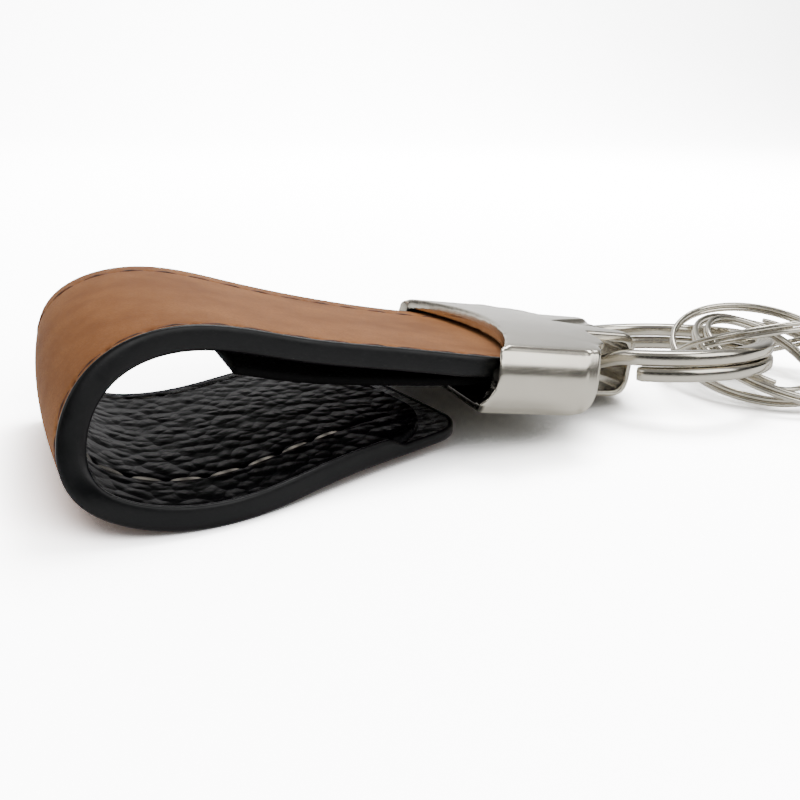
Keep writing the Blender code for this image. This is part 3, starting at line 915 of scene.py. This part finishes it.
    def stitch_relief(self, along: Array, side: Array, end: float,
                      margins: tuple[float, float]) -> tuple[Array, Array]:
        """Return how deep the thread and needle holes pull the leather, and each hole's shade.

        The groove is G exp(-(s / w)^2) deep at s beside the row, and each hole adds a dimple
        D exp(-((s / a)^2 + (r / b)^2)) deep at r along the row from its middle.

        Args:
            along: Metres along the strap.
            side: Metres from the middle.
            end: Where the rows of stitches end.
            margins: How far the near and far rows lie from their edges.

        Returns:
            The depth in metres and the shade from 0 to 1.
        """
        margin = np.where(side < 0, margins[0], margins[1])
        off = (np.abs(side) - (self.width / 2 - margin)) / MM
        holes = self.hole_places(end)
        nearest = holes[np.abs(along[:, :1] - holes[None]).argmin(axis=1)][:, None]
        run = (along - nearest) / MM
        ends = np.clip((end - along) / self.stitch_pitch, 0.0, 1.0)
        pull, spread = self.groove
        deep, wide, long = self.dimple
        groove = pull * np.exp(-(off / spread) ** 2) * ends
        dimple = np.exp(-((off / wide) ** 2 + (run / long) ** 2))
        return (groove + deep * dimple) * MM, np.clip(dimple, 0.0, 1.0)

    @staticmethod
    def slab_section(face: Array) -> tuple[Array, Array, Array]:
        """Return a slab's section: its outer face, far edge, inner face and near edge in turn.

        Each edge is half an ellipse: at angle t it bulges by sin(t), at level (1 - cos(t)) / 2.

        Args:
            face: The places across a face, from -1 to 1.

        Returns:
            Places across, levels from 0 outside to 1 inside, and bulges, of the section's points.
        """
        turn = np.linspace(0.0, pi, 7)[1:-1]
        share = np.concatenate([face, 1.0 + 0 * turn, face[::-1], -1.0 + 0 * turn])
        level = np.concatenate([0 * face, (1 - np.cos(turn)) / 2, 1 + 0 * face,
                                (1 + np.cos(turn)) / 2])
        bulge = np.concatenate([0 * face, np.sin(turn), 0 * face, -np.sin(turn)])
        return share, level, bulge

    def ply(self, name: str, span: tuple[float, float], depths: tuple[float, float],
            relief_side: int, materials: list[bpy.types.Material]) -> bpy.types.Object:
        """Model one ply as a closed slab with rounded edges along its band.

        Its two faces are the sheet at two depths, and its edges are half ellipses between them.

        Args:
            name: The piece's name.
            span: The band's end and its corners' radius.
            depths: The depths of its outer and inner face.
            relief_side: 1 where the outer face carries the stitches, -1 where the inner one does.
            materials: The faces' finish, and the inner face's where it has its own.

        Returns:
            The ply.
        """
        end, radius = span
        places, halves = self.rows(end, radius, self.row_spacing, self.edge_inset)
        margins = self.tan_margins if relief_side > 0 else self.lining_margins
        face = self.columns(margins)
        share, level, bulge = self.slab_section(face)
        top, low = depths
        thick = low - top
        soft = self.edge_softness * thick
        side = share[None] * (halves[:, None] - soft) + bulge[None] * soft
        along = np.repeat(places[:, None], len(share), axis=1)
        depth = np.repeat((top + level * thick)[None], len(places), axis=0)
        pull, shade = self.stitch_relief(along, side, end - self.holes_stop, margins)
        carries = (level == (0.0 if relief_side > 0 else 1.0))[None]
        depth = depth + pull * carries * relief_side
        piece = tube_piece(name, self.inside(along, side, depth), materials)
        # the needle holes' painted shade, which the tan leather reads
        add_attribute(piece, "needle", shade * carries)
        if len(materials) > 1:
            inner = np.repeat((level > 0.5)[None], len(places) - 1, axis=0).astype(np.int32)
            rest = len(piece.data.polygons) - inner.size
            piece.data.polygons.foreach_set(
                "material_index", np.concatenate([inner.ravel(), np.zeros(rest, np.int32)]))
        return piece

    def edge_path(self, end: float, radius: float,
                  step: float) -> tuple[Array, Array, Array, Array]:
        """Return the path round the strap's edge: near side, rounded free end, far side.

        Args:
            end: The strap's end.
            radius: Its corners' radius.
            step: The points' spacing on the straight runs.

        Returns:
            Places along and aside, and the outward direction's two parts.
        """
        half = self.width / 2
        run = np.linspace(0.0, end - radius, round((end - radius) / step) + 1)
        turn = np.linspace(0.0, pi / 2, 16)[1:]
        across = np.linspace(-(half - radius), half - radius, 50)[1:-1]
        along = np.concatenate([run, end - radius + radius * np.sin(turn), 0 * across + end,
                                end - radius + radius * np.sin(turn[::-1]), run[::-1]])
        aside = np.concatenate([0 * run - half, -half + radius * (1 - np.cos(turn)), across,
                                half - radius * (1 - np.cos(turn[::-1])), 0 * run + half])
        ahead = np.concatenate([0 * run, np.sin(turn), 1 + 0 * across, np.sin(turn[::-1]),
                                0 * run])
        out = np.concatenate([0 * run - 1, -np.cos(turn), 0 * across, np.cos(turn[::-1]),
                              0 * run + 1])
        return along, aside, ahead, out

    def paint_bead(self) -> bpy.types.Object:
        """Model the painted edge: a superellipse carried round the strap's edge.

        At angle t the bead reaches q = -c + c cos(t)|cos(t)|^-0.3 outwards from the edge and
        d = T/2 (1 - 1.03 sin(t)|sin(t)|^-0.3) deep, for half width c and strap thickness T.
        The thickness falls to the outer ply's where the lining stops short of the end.

        Returns:
            The bead.
        """
        along, aside, ahead, out = self.edge_path(self.length, self.end_radius, self.bead_spacing)
        turn = np.linspace(0.0, 2 * pi, 20, endpoint=False) + pi / 20
        q = self.bead * (np.cos(turn) * np.abs(np.cos(turn)) ** -0.3 - 1.0)
        before, over = self.bead_thins
        fade = np.clip((along - (self.length - before)) / over, 0.0, 1.0)
        fade = fade * fade * (3 - 2 * fade)
        thick = self.strap_thick + (self.outer_ply + self.bead_proud - self.strap_thick) * fade
        d = thick[:, None] / 2 * (1 - 1.03 * (np.sin(turn) * np.abs(np.sin(turn)) ** -0.3)[None])
        rings = self.inside(along[:, None] + ahead[:, None] * q[None],
                            aside[:, None] + out[:, None] * q[None], d)
        return tube_piece("edge_paint", rings, [self.finishes.paint])

    def stitches(self, name: str, side: int, depth: float, lift: int, end: float,
                 margin: float, radius: float, material: bpy.types.Material) -> bpy.types.Object:
        """Model one row of stitches: each an arched thread between two needle holes.

        A stitch's middle follows h(t) = r (1.25 sin(pi t)^0.6 - 0.75) above the leather, for
        thread radius r, and it thins by 0.55 + 0.45 sin(pi t)^0.5 into the holes.

        Args:
            name: The piece's name.
            side: -1 for the near row and 1 for the far one.
            depth: The leather face's depth.
            lift: 1 where the face looks outwards and -1 where it looks inwards.
            end: Where the row ends.
            margin: How far the row lies from the strap's edge.
            radius: The thread's radius.
            material: The thread's finish.

        Returns:
            The row of stitches.
        """
        holes = self.hole_places(end)
        t = np.linspace(0.0, 1.0, 9)
        run = self.needle + (1 - 2 * self.needle) * t
        along = holes[:-1, None] + run[None] * np.diff(holes)[:, None]
        height = radius * (1.25 * np.sin(pi * t) ** 0.6 - 0.75)
        thin = 0.55 + 0.45 * np.sin(pi * t) ** 0.5
        aside = side * (self.width / 2 - margin)
        turn = np.linspace(0.0, 2 * pi, 8, endpoint=False)
        over = height[None, :, None] + radius * thin[None, :, None] * np.cos(turn)
        beside = aside + radius * thin[None, :, None] * np.sin(turn) * np.ones((len(along), 1, 1))
        rings = self.inside(along[:, :, None] + 0 * over, beside, depth - lift * over)
        return tube_piece(name, rings, [material])

    def keeper(self) -> bpy.types.Object:
        """Model the short ply under the top run as a rounded slab.

        Past the mouth it sags by 1 - (1 - t)^2 of its full sag, and its rows turn aslant by t,
        for t from 0 at the mouth to 1 at its free end.

        Returns:
            The keeper.
        """
        places = np.linspace(0.0, self.keeper_end, 150)
        half = self.width / 2 - self.keeper_margin
        soft = self.keeper_softness
        share, level, bulge = self.slab_section(np.linspace(-1.0, 1.0, 61))
        side = share * (half - soft) + bulge * soft
        free = np.clip((places - self.insert) / (self.keeper_end - self.insert), 0.0, 1.0)
        sag = self.keeper_sag * (1.0 - (1.0 - free) ** 2)
        depth = self.keeper_depth + level[None] * self.keeper_thick + sag[:, None]
        along = places[:, None] + self.keeper_slant * free[:, None] * (1.0 + share[None]) / 2
        rings = self.inside(along, side[None], depth)
        return tube_piece("keeper_leather", rings, [self.finishes.suede])

    def build(self) -> list[bpy.types.Object]:
        """Build every leather piece and hide the solids that they stand for.

        Returns:
            The plies, the keeper, the painted edge and the rows of stitches.
        """
        full, made = self.length, self.finishes
        outer = self.ply("strap_leather_outer", (full - self.edge_inset, self.end_radius),
                         (0.0, self.outer_ply), 1, [made.tan, made.backing])
        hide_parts("strap_outer_ply")
        lining_end = full - self.lining_setback
        lining = self.ply("strap_leather_lining", (lining_end, self.lining_radius),
                          (self.outer_ply, self.strap_thick), -1, [made.pebbled])
        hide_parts("strap_lining_ply")
        keeper = self.keeper()
        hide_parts("keeper_ply")
        pieces = [outer, lining, keeper, self.paint_bead()]
        for row, (side, word) in enumerate(((-1, "near"), (1, "far"))):
            pieces.append(self.stitches(f"tan_stitches_{word}", side, self.thread_seat, 1,
                                        full - self.tan_row_stop, self.tan_margins[row],
                                        self.tan_threads[row], made.brown_thread))
            pieces.append(self.stitches(f"lining_stitches_{word}", side,
                                        self.strap_thick - self.thread_seat, -1,
                                        lining_end - self.lining_row_stop,
                                        self.lining_margins[row], self.lining_threads[row],
                                        made.grey_thread))
        for piece in pieces:
            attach(piece, "clip")
        return pieces


# The head


@dataclass
class CastHead:
    """The cast head: the solid's own shape, its edges worn round and its walls filed.

    Its shaping values are millimetres in the head's own frame: +X to the nose, +Y to the far
    side, +Z up. A pair named for a zone is where a smooth step starts and how far it runs, and
    one named for a turn is the same for how far a normal points that way. The shoulder's plan is
    the half width that the walls should have at places along the head. The mouth's room, the
    sill, the lip, the bail's room and the cut face are boxes, each with its low and high value
    along every axis. The first and fourth hold painted shade, nickel darkened where the mouth and
    the bail lie in shade, and the third a painted dark reflection on the lip. The sill is the
    mouth's bright edge, which the painted shade leaves out, and the cut face is the polished rim
    above the mouth.
    """

    place: ClipPlace
    finishes: Finishes
    voxel: float = 0.17 * MM
    weld: float = 0.002 * MM
    wear: float = 0.5
    wear_rounds: int = 7
    bottom: float = -5.1
    top: float = 1.3
    barrel: float = 0.55
    barrel_zone: tuple[float, float] = (13.3, 1.2)
    roof_cut: float = 0.5
    roof_zone: tuple[float, float] = (0.6, 1.2)
    bail_stretch: float = 0.6
    bail_zone: tuple[float, float] = (14.0, 4.0)
    bail_axis: tuple[float, float] = (15.9, -1.9)
    v_tip: float = 13.1
    v_flare: float = 0.64
    v_sink: float = 0.35
    v_edge: tuple[float, float] = (-0.35, 0.25)
    v_zone: tuple[float, float] = (0.9, 0.4)
    feather: float = 0.12
    arch_radius: float = 157.9
    arch_skin: float = 0.22
    roof_from: float = 1.4
    roof_turn: tuple[float, float] = (0.92, 0.07)
    shoulder: float = 10.5
    shoulder_run: float = 2.5
    shoulder_pull: float = 0.5
    shoulder_zone: tuple[float, float] = (8.5, 2.5)
    shoulder_plan: Rows = ((8.0, 10.5, 10.9, 11.1, 11.5, 12.0, 12.6),
                           (14.85, 14.85, 14.65, 14.2, 12.9, 11.7, 10.8))
    plan_spots: int = 24
    plan_window: float = 0.15
    wall_from: float = 12.0
    back_from: float = 6.0
    mouth_turn: tuple[float, float] = (0.4, 0.4)
    bail_turn: tuple[float, float] = (0.72, 0.2)
    cut_turn: tuple[float, float] = (0.15, 0.6)
    # how much of the painted shade the bail's hollow and the lip get
    bail_shade: float = 0.85
    lip_shade: float = 0.9
    mouth_room: Rows = ((-1.2, 9.8), (-14.2, 14.2), (-4.5, 0.9))
    sill: Rows = ((-1.2, 1.8), (-13.5, 13.5), (-4.3, -3.8))
    lip: Rows = ((-1.5, -0.7), (-15.2, 15.2), (-5.4, -4.1))
    bail_room: Rows = ((12.8, 18.5), (-5.7, 5.7), (-4.6, 1.3))
    cut_face: Rows = ((-0.5, 4.2), (-13.4, 13.4), (0.3, 1.45))

    def build(self) -> list[bpy.types.Object]:
        """Build the casting from the solid, file it and mark its painted shade and polished faces.

        Returns:
            The casting.
        """
        piece = self.worn()
        points, facing = np.empty((2, len(piece.data.vertices) * 3), dtype=np.float32)
        piece.data.vertices.foreach_get("co", points)
        piece.data.vertex_normals.foreach_get("vector", facing)
        facing = facing.reshape(-1, 3)
        local = self.trued(points.reshape(-1, 3).astype(float), facing)
        # painted shade: how far the nickel is darkened in the mouth and the bail, with a painted
        # dark reflection on the lip
        dull = self.painted_shade(local, facing)
        polished = self.room(local, self.cut_face) * self.zone(-facing[:, 0], self.cut_turn)
        to_clip = np.array(self.place.head())
        points = self.filed(local) @ to_clip[:3, :3].T + to_clip[:3, 3]
        piece.data.vertices.foreach_set("co", points.astype(np.float32).ravel())
        piece.data.update()
        # the "dull" value carries this painted shade to the nickel
        add_attribute(piece, "dull", dull)
        add_attribute(piece, "polished", polished)
        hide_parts("head")
        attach(piece, "clip")
        return [piece]

    def trued(self, local: Array, facing: Array) -> Array:
        """Return the points with the roof's skin on its true arch, z = crown - y^2 / (2 R).

        The crown is the middle value of z + y^2 / (2 R) over the roof's flat points, and only
        points near the arch whose normals point up are moved.

        Args:
            local: Points in the head's own frame.
            facing: The points' normals in the same frame.

        Returns:
            The points, with the roof's own moved and the rest as they were.
        """
        x, y, z = (local / MM).T
        sagitta = y ** 2 / (2.0 * self.arch_radius)
        flat = (facing[:, 2] > 0.99) & (z > self.roof_from)
        arch = np.median((z + sagitta)[flat]) - sagitta
        roof = self.zone(facing[:, 2], self.roof_turn) * (np.abs(z - arch) < self.arch_skin)
        return np.stack([x, y, z + (arch - z) * roof], axis=-1) * MM

    def painted_shade(self, local: Array, facing: Array) -> Array:
        """Return each point's painted shade: 1 on the faces that look into the mouth or the bail.

        A point is judged by how far its normal turns inwards, so that a mask ends at an edge and
        not inside a wall: in the mouth towards its middle height, its middle width or its open
        end, and in the bail towards the ring's axis.

        Args:
            local: Points in the head's own frame.
            facing: The points' normals in the same frame.

        Returns:
            The dull share of each point.
        """
        x, y, z = (local / MM).T
        seat_x, seat_z = self.bail_axis
        level = np.where(z < seat_z, facing[:, 2], -facing[:, 2])
        across = np.where(np.abs(y) > self.wall_from, -np.sign(y) * facing[:, 1], 0.0)
        back = np.where(x > self.back_from, -facing[:, 0], 0.0)
        inward = np.maximum(np.maximum(level, across), back)
        mouth = self.room(local, self.mouth_room) * self.zone(inward, self.mouth_turn)
        mouth *= 1.0 - self.room(local, self.sill)
        reach = np.maximum(np.hypot(x - seat_x, z - seat_z), 0.01)
        hole = ((seat_x - x) * facing[:, 0] + (seat_z - z) * facing[:, 2]) / reach
        bail = self.room(local, self.bail_room) * self.zone(hole, self.bail_turn)
        # painted shade in the mouth and the bail, and a painted dark reflection on the lip
        return np.maximum(np.maximum(mouth, self.bail_shade * bail),
                          self.lip_shade * self.room(local, self.lip))

    def worn(self) -> bpy.types.Object:
        """Copy the solid into the head's own frame, as an even skin with its edges worn.

        Returns:
            The copy, still in the head's own frame.
        """
        body = bmesh.new()
        body.from_mesh(frame["nodes"]["head"].data)
        body.transform(self.place.head().inverted())
        bmesh.ops.remove_doubles(body, verts=body.verts, dist=self.weld)
        blank = bpy.data.meshes.new("head_blank")
        body.to_mesh(blank)
        body.free()
        piece = bpy.data.objects.new("head_casting", blank)
        bpy.context.scene.collection.objects.link(piece)
        skin = piece.modifiers.new("even_skin", "REMESH")
        skin.mode = "VOXEL"
        skin.voxel_size = self.voxel
        worn = piece.modifiers.new("worn_edges", "SMOOTH")
        worn.factor = self.wear
        worn.iterations = self.wear_rounds
        seen = bpy.context.evaluated_depsgraph_get()
        mesh = bpy.data.meshes.new_from_object(piece.evaluated_get(seen))
        piece.modifiers.clear()
        piece.data = mesh
        mesh.materials.clear()
        mesh.materials.append(self.finishes.satin)
        mesh.shade_smooth()
        return piece

    def filed(self, local: Array) -> Array:
        """File the casting to its last shape: a thinner roof, square shoulders, a longer bail.

        The roof falls by a smooth step of its height, and so does a V from its tip to the nose.
        Beyond the shoulder the walls stretch by the wanted plan's width over the measured one's,
        and they draw back a little. The bail reaches farther by a smooth step along the head.
        The side walls lean in by the square of the height from their middle.

        Args:
            local: Points in the head's own frame.

        Returns:
            The points where the finished casting has them.
        """
        x, y, z = (local / MM).T
        side, far = np.sign(y), np.abs(y)
        in_v = self.zone((x - self.v_tip) * self.v_flare - far, self.v_edge)
        z = (z - self.roof_cut * self.zone(z, self.roof_zone)
             - self.v_sink * in_v * self.zone(z, self.v_zone))
        outer = np.clip((far - self.shoulder) / self.shoulder_run, 0.0, 1.0)
        first, last = self.shoulder_plan[0][0], self.shoulder_plan[0][-1]
        spots = np.linspace(first, last, self.plan_spots)
        widths = [far[np.abs(x - spot) < self.plan_window].max() for spot in spots]
        beyond = np.interp(x, spots, widths) - self.shoulder
        wanted = np.interp(x, *self.shoulder_plan) - self.shoulder
        spread = np.where((x > first) & (beyond > 0.1) & (far > self.shoulder),
                          wanted / np.maximum(beyond, 0.1), 1.0)
        far = np.where(far > self.shoulder, self.shoulder + (far - self.shoulder) * spread, far)
        x = x - self.shoulder_pull * outer * self.zone(x, self.shoulder_zone)
        x = x + self.bail_stretch * self.zone(x, self.bail_zone)
        middle, reach = (self.top + self.bottom) / 2, (self.top - self.bottom) / 2
        up = np.clip((z - middle) / reach, -1.0, 1.0)
        start, run = self.barrel_zone
        far = far - self.barrel * up ** 2 * np.clip((far - start) / run, 0.0, 1.0)
        return np.stack([x, side * far, z], axis=-1) * MM

    @staticmethod
    def step(value: Array, width: float) -> Array:
        """Return a smooth step s^2 (3 - 2 s), for s from 0 to 1 over a width."""
        share = np.clip(value / width, 0.0, 1.0)
        return share * share * (3.0 - 2.0 * share)

    @classmethod
    def zone(cls, value: Array, span: tuple[float, float]) -> Array:
        """Return the smooth step over a zone, given as its start and its run."""
        return cls.step(value - span[0], span[1])

    def room(self, local: Array, spans: Rows) -> Array:
        """Return 1 for points deep in a box of the head's frame, falling to 0 at its sides.

        Args:
            local: Points in the head's own frame.
            spans: The box's low and high value along each axis, in millimetres.

        Returns:
            The share from 0 to 1 of each point.
        """
        held = np.ones(len(local))
        for axis, (low, high) in enumerate(spans):
            place = local[:, axis] / MM
            held *= self.step(place - low, self.feather) * self.step(high - place, self.feather)
        return held


# The rings


@dataclass
class SplitRing:
    """A split ring: one wire of two turns, a ramp up past its cut ends, and eased ends.

    Each cut end stops short of the ramp by the end gap and a quarter of the wire's height. The
    end scale is how small the wire is at its cuts, and the end length how far from them it is
    whole again.
    """

    name: str
    node: str
    body: str
    frame: Matrix
    radius: float
    width: float
    height: float
    rise: float
    cut: float
    ramp: float
    corner: float
    material: bpy.types.Material
    steps: int = 150
    sections: int = 24
    end_gap: float = 0.42 * MM
    end_scale: float = 0.86
    end_length: float = 0.2 * MM
    edge_angle: float = radians(50)

    def section(self) -> tuple[Array, Array]:
        """Return the wire's section: a superellipse |a|^n + |b|^n = 1, rounder for small n.

        Returns:
            Offsets outwards from the ring's axis and up along it.
        """
        turn = np.linspace(0.0, 2 * pi, self.sections, endpoint=False) + pi / self.sections
        power = 2.0 / self.corner
        a = self.width / 2 * np.sign(np.cos(turn)) * np.abs(np.cos(turn)) ** power
        b = self.height / 2 * np.sign(np.sin(turn)) * np.abs(np.sin(turn)) ** power
        return a, b

    def build(self) -> bpy.types.Object:
        """Build the wire: centre (R cos f, R sin f, z), with z a smooth step up the ramp.

        Returns:
            The wire, riding on its body.
        """
        clearance = (self.end_gap + self.height / 4) / self.radius
        total = 4 * pi - self.ramp - 2 * clearance
        turn = np.linspace(0.0, total, round(2 * self.steps * total / (4 * pi)))
        climb = np.clip((turn - (2 * pi - clearance - self.ramp)) / self.ramp, 0.0, 1.0)
        level = (climb * climb * (3 - 2 * climb) - 0.5) * self.rise
        ends = self.end_taper(turn, total)
        a, b = self.section()
        angle = (self.cut + turn)[:, None]
        reach = self.radius + a[None] * ends[:, None]
        local = np.stack([reach * np.cos(angle), reach * np.sin(angle),
                          level[:, None] + b[None] * ends[:, None]], axis=-1)
        matrix = np.array(self.frame)
        rings = local @ matrix[:3, :3].T + matrix[:3, 3]
        piece = tube_piece(self.name, rings, [self.material])
        keep_edges(piece, self.edge_angle)
        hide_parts(self.node)
        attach(piece, self.body)
        return piece

    def end_taper(self, turn: Array, total: float) -> Array:
        """Return the section's scale: s + (1 - s) sqrt(d / e) at d from a cut, and whole past e.

        Args:
            turn: Angles along the wire.
            total: The wire's whole angle.

        Returns:
            The scale at each angle.
        """
        length = np.minimum(turn, total - turn) * self.radius
        near = np.sqrt(np.clip(length / self.end_length, 0.0, 1.0))
        return self.end_scale + (1.0 - self.end_scale) * near


@dataclass
class RingSet:
    """The main split ring in the bail and the four thin ones on it.

    A wire is its width, its height and its rise from one turn to the next. Each thin ring is its
    radius and its centre's place from the main ring's, all in millimetres, then its roll, pitch
    and cut in degrees.
    """

    place: ClipPlace
    finishes: Finishes
    radius: float = 11.5 * MM
    roll: float = radians(9.5)
    cut: float = radians(227)
    main_wire: tuple[float, float, float] = (2.0 * MM, 1.55 * MM, 1.66 * MM)
    main_ramp: float = radians(32)
    main_corner: float = 3.6
    thin_wire: tuple[float, float, float] = (0.6 * MM, 0.6 * MM, 0.62 * MM)
    thin_ramp: float = radians(40)
    thin_corner: float = 2.0
    thin_steps: int = 110
    thin_sections: int = 12
    thin_rings: Rows = (
        (9.7, 10.53, -3.66, 1.22, 28.2, -0.8, 200), (9.7, 12.36, -2.51, -0.25, -15.8, -7.5, 20),
        (9.7, 13.77, -4.2, -0.56, -13.1, 5.5, 110), (6.6, 12.33, -2.8, -0.39, -20.1, 10.2, 300))

    def build(self) -> list[bpy.types.Object]:
        """Build the five rings, each on its own body.

        Returns:
            The main ring's wire, then the thin ones'.
        """
        centre = self.place.hinge() + Vector((self.radius, 0.0, 0.0))
        turn = Euler((-self.roll, 0.0, 0.0)).to_matrix().to_4x4()
        made = [SplitRing("main_ring_wire", "main_split_ring", "main_ring",
                          Matrix.Translation(centre) @ turn, self.radius, *self.main_wire,
                          self.cut, self.main_ramp, self.main_corner,
                          self.finishes.bright).build()]
        for number, row in enumerate(self.thin_rings, start=1):
            radius, along, across, up, roll, pitch, cut = row
            spot = centre + Vector((along, across, up)) * MM
            turn = Euler((-radians(roll), radians(pitch), 0.0)).to_matrix().to_4x4()
            made.append(SplitRing(f"thin_ring_{number}_wire", f"thin_split_ring_{number}",
                                  f"thin_ring_{number}", Matrix.Translation(spot) @ turn,
                                  radius * MM, *self.thin_wire, radians(cut), self.thin_ramp,
                                  self.thin_corner, self.finishes.bright, self.thin_steps,
                                  self.thin_sections).build())
        return made


# The studio


@dataclass
class Studio:
    """Pale seamless paper, soft light from four sides and the photograph's camera.

    Each softbox is its name, its place and its aim in metres, its side and its power. The
    paper is its near end, its half width, where its sweep starts, the sweep's radius and the
    height that it ends at, in metres. The sky is the room's shade from straight down to up.
    """

    place: ClipPlace
    focal_pixels: float = 803.6
    frame_pixels: float = 800.0
    sensor: float = 36.0
    pitch: float = radians(21.28)
    camera_roll: float = radians(1.5)
    heading: tuple[float, float] = (0.2974, 0.9548)
    camera_spot: tuple[float, float, float] = (-28.9 * MM, -76.0 * MM, 31.7 * MM)
    view_range: tuple[float, float] = (0.002, 20.0)
    sheet: tuple[float, float, float, float, float] = (-1.2, 3.0, 0.4, 0.45, 1.5)
    softboxes: tuple = (("overhead", (0.14, 0.19, 0.41), (0.0, 0.0, 0.0), 0.20, 1.65),
                        ("sweep", (0.1, 0.25, 0.55), (0.2, 0.85, 0.15), 0.3, 3.4),
                        ("left", (-0.45, -0.10, 0.22), (0.0, 0.0, 0.0), 0.25, 0.45),
                        ("front", (0.20, -0.36, 0.31), (0.0, 0.0, 0.0), 0.40, 1.7))
    sky: tuple = ((0.0, "#2a2a2a"), (0.22, "#1c1c1c"), (0.34, "#5c5c5c"), (0.52, "#a0a0a0"))
    backdrop: float = 8.0

    def build(self) -> None:
        """Build the paper, lights, surroundings and camera."""
        self.paper()
        self.lights()
        self.surroundings()
        self.camera()

    def paper(self) -> None:
        """Build the paper: flat under the clip, curving up far behind it.

        The sweep's height is R (1 - cos a) over R sin a, for a from 0 to 90 degrees.
        """
        near, wide, start, radius, top = self.sheet
        turn = np.linspace(0.0, pi / 2, 24)
        depth = np.concatenate([[near, 0.0], start + radius * np.sin(turn), [start + radius]])
        height = np.concatenate([[0.0, 0.0], radius * (1 - np.cos(turn)), [top]])
        x, y = np.meshgrid([-wide, wide], depth)
        points = np.stack([x, y, np.repeat(height[:, None], 2, axis=1)], axis=-1)
        rows = np.arange(len(depth) - 1)[:, None] * 2
        quads = rows + np.array([[0, 1, 3, 2]])
        mesh = bpy.data.meshes.new("paper")
        mesh.from_pydata(points.reshape(-1, 3).tolist(), [], quads.tolist())
        mesh.materials.append(StudioPaper("seamless_paper").make())
        mesh.shade_smooth()
        paper = bpy.data.objects.new("paper", mesh)
        bpy.context.scene.collection.objects.link(paper)

    @staticmethod
    def area_light(name: str, spot: tuple, aim: tuple, size: float, power: float) -> None:
        """Add one square softbox.

        Args:
            name: The light's name.
            spot: Where it stands, in metres.
            aim: The point that it faces.
            size: Its side in metres.
            power: Its power in watts.
        """
        data = bpy.data.lights.new(name, "AREA")
        data.shape = "SQUARE"
        data.size = size
        data.energy = power
        lamp = bpy.data.objects.new(name, data)
        lamp.location = spot
        lamp.rotation_euler = (Vector(aim) - Vector(spot)).to_track_quat("-Z", "Y").to_euler()
        bpy.context.scene.collection.objects.link(lamp)

    def lights(self) -> None:
        """Add the softboxes: overhead behind the clip, on the sweep, at the left and in front."""
        for softbox in self.softboxes:
            self.area_light(*softbox)

    def surroundings(self) -> None:
        """Give the room: dim below, brighter above, so that metal shows its bands.

        Past the paper's edge the camera sees a plain backdrop as bright as the paper.
        """
        world = bpy.data.worlds.new("studio")
        bpy.context.scene.world = world
        world.use_nodes = True
        tree = world.node_tree
        up = add_node(tree, "SeparateXYZ",
                      {"Vector": add_node(tree, "TexCoord").outputs["Generated"]})
        ramp = add_node(tree, "ValToRGB", {"Fac": up.outputs["Z"]})
        set_stops(ramp, [(place, linear(code)) for place, code in self.sky])
        seen = add_node(tree, "LightPath").outputs["Is Camera Ray"]
        shown = Finish.blend(tree, seen, ramp.outputs["Color"], (self.backdrop,) * 3 + (1.0,))
        background = tree.nodes["Background"]
        tree.links.new(shown, background.inputs["Color"])
        background.inputs["Strength"].default_value = 1.0

    def camera(self) -> None:
        """Place the camera at the photograph's view, anchored to the clip's mouth."""
        side = Vector((self.heading[1], -self.heading[0], 0.0))
        level = Vector((*self.heading, 0.0))
        ahead = level * cos(self.pitch) - Vector((0.0, 0.0, 1.0)) * sin(self.pitch)
        up = level * sin(self.pitch) + Vector((0.0, 0.0, 1.0)) * cos(self.pitch)
        turn = Matrix((side, up, -ahead)).transposed()
        turn = Matrix.Rotation(-self.camera_roll, 3, level) @ turn
        data = bpy.data.cameras.new("photo_view")
        data.sensor_width = self.sensor
        data.lens = self.focal_pixels / self.frame_pixels * self.sensor
        data.clip_start, data.clip_end = self.view_range
        view = bpy.data.objects.new("photo_view", data)
        view.matrix_world = (Matrix.Translation(Vector(self.camera_spot) + self.place.shift())
                             @ turn.to_4x4())
        bpy.context.scene.collection.objects.link(view)
        bpy.context.scene.camera = view


def main() -> None:
    """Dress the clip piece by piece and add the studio."""
    logging.basicConfig(level=logging.INFO, format="%(name)s: %(message)s")
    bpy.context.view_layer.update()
    place = ClipPlace()
    finishes = Finishes()
    pieces = StrapLoop(place, finishes).build()
    pieces += CastHead(place, finishes).build()
    pieces += RingSet(place, finishes).build()
    for piece in pieces:
        LOG.info("%s: %d faces", piece.name, len(piece.data.polygons))
    Studio(place).build()


if __name__ == "__main__":
    main()
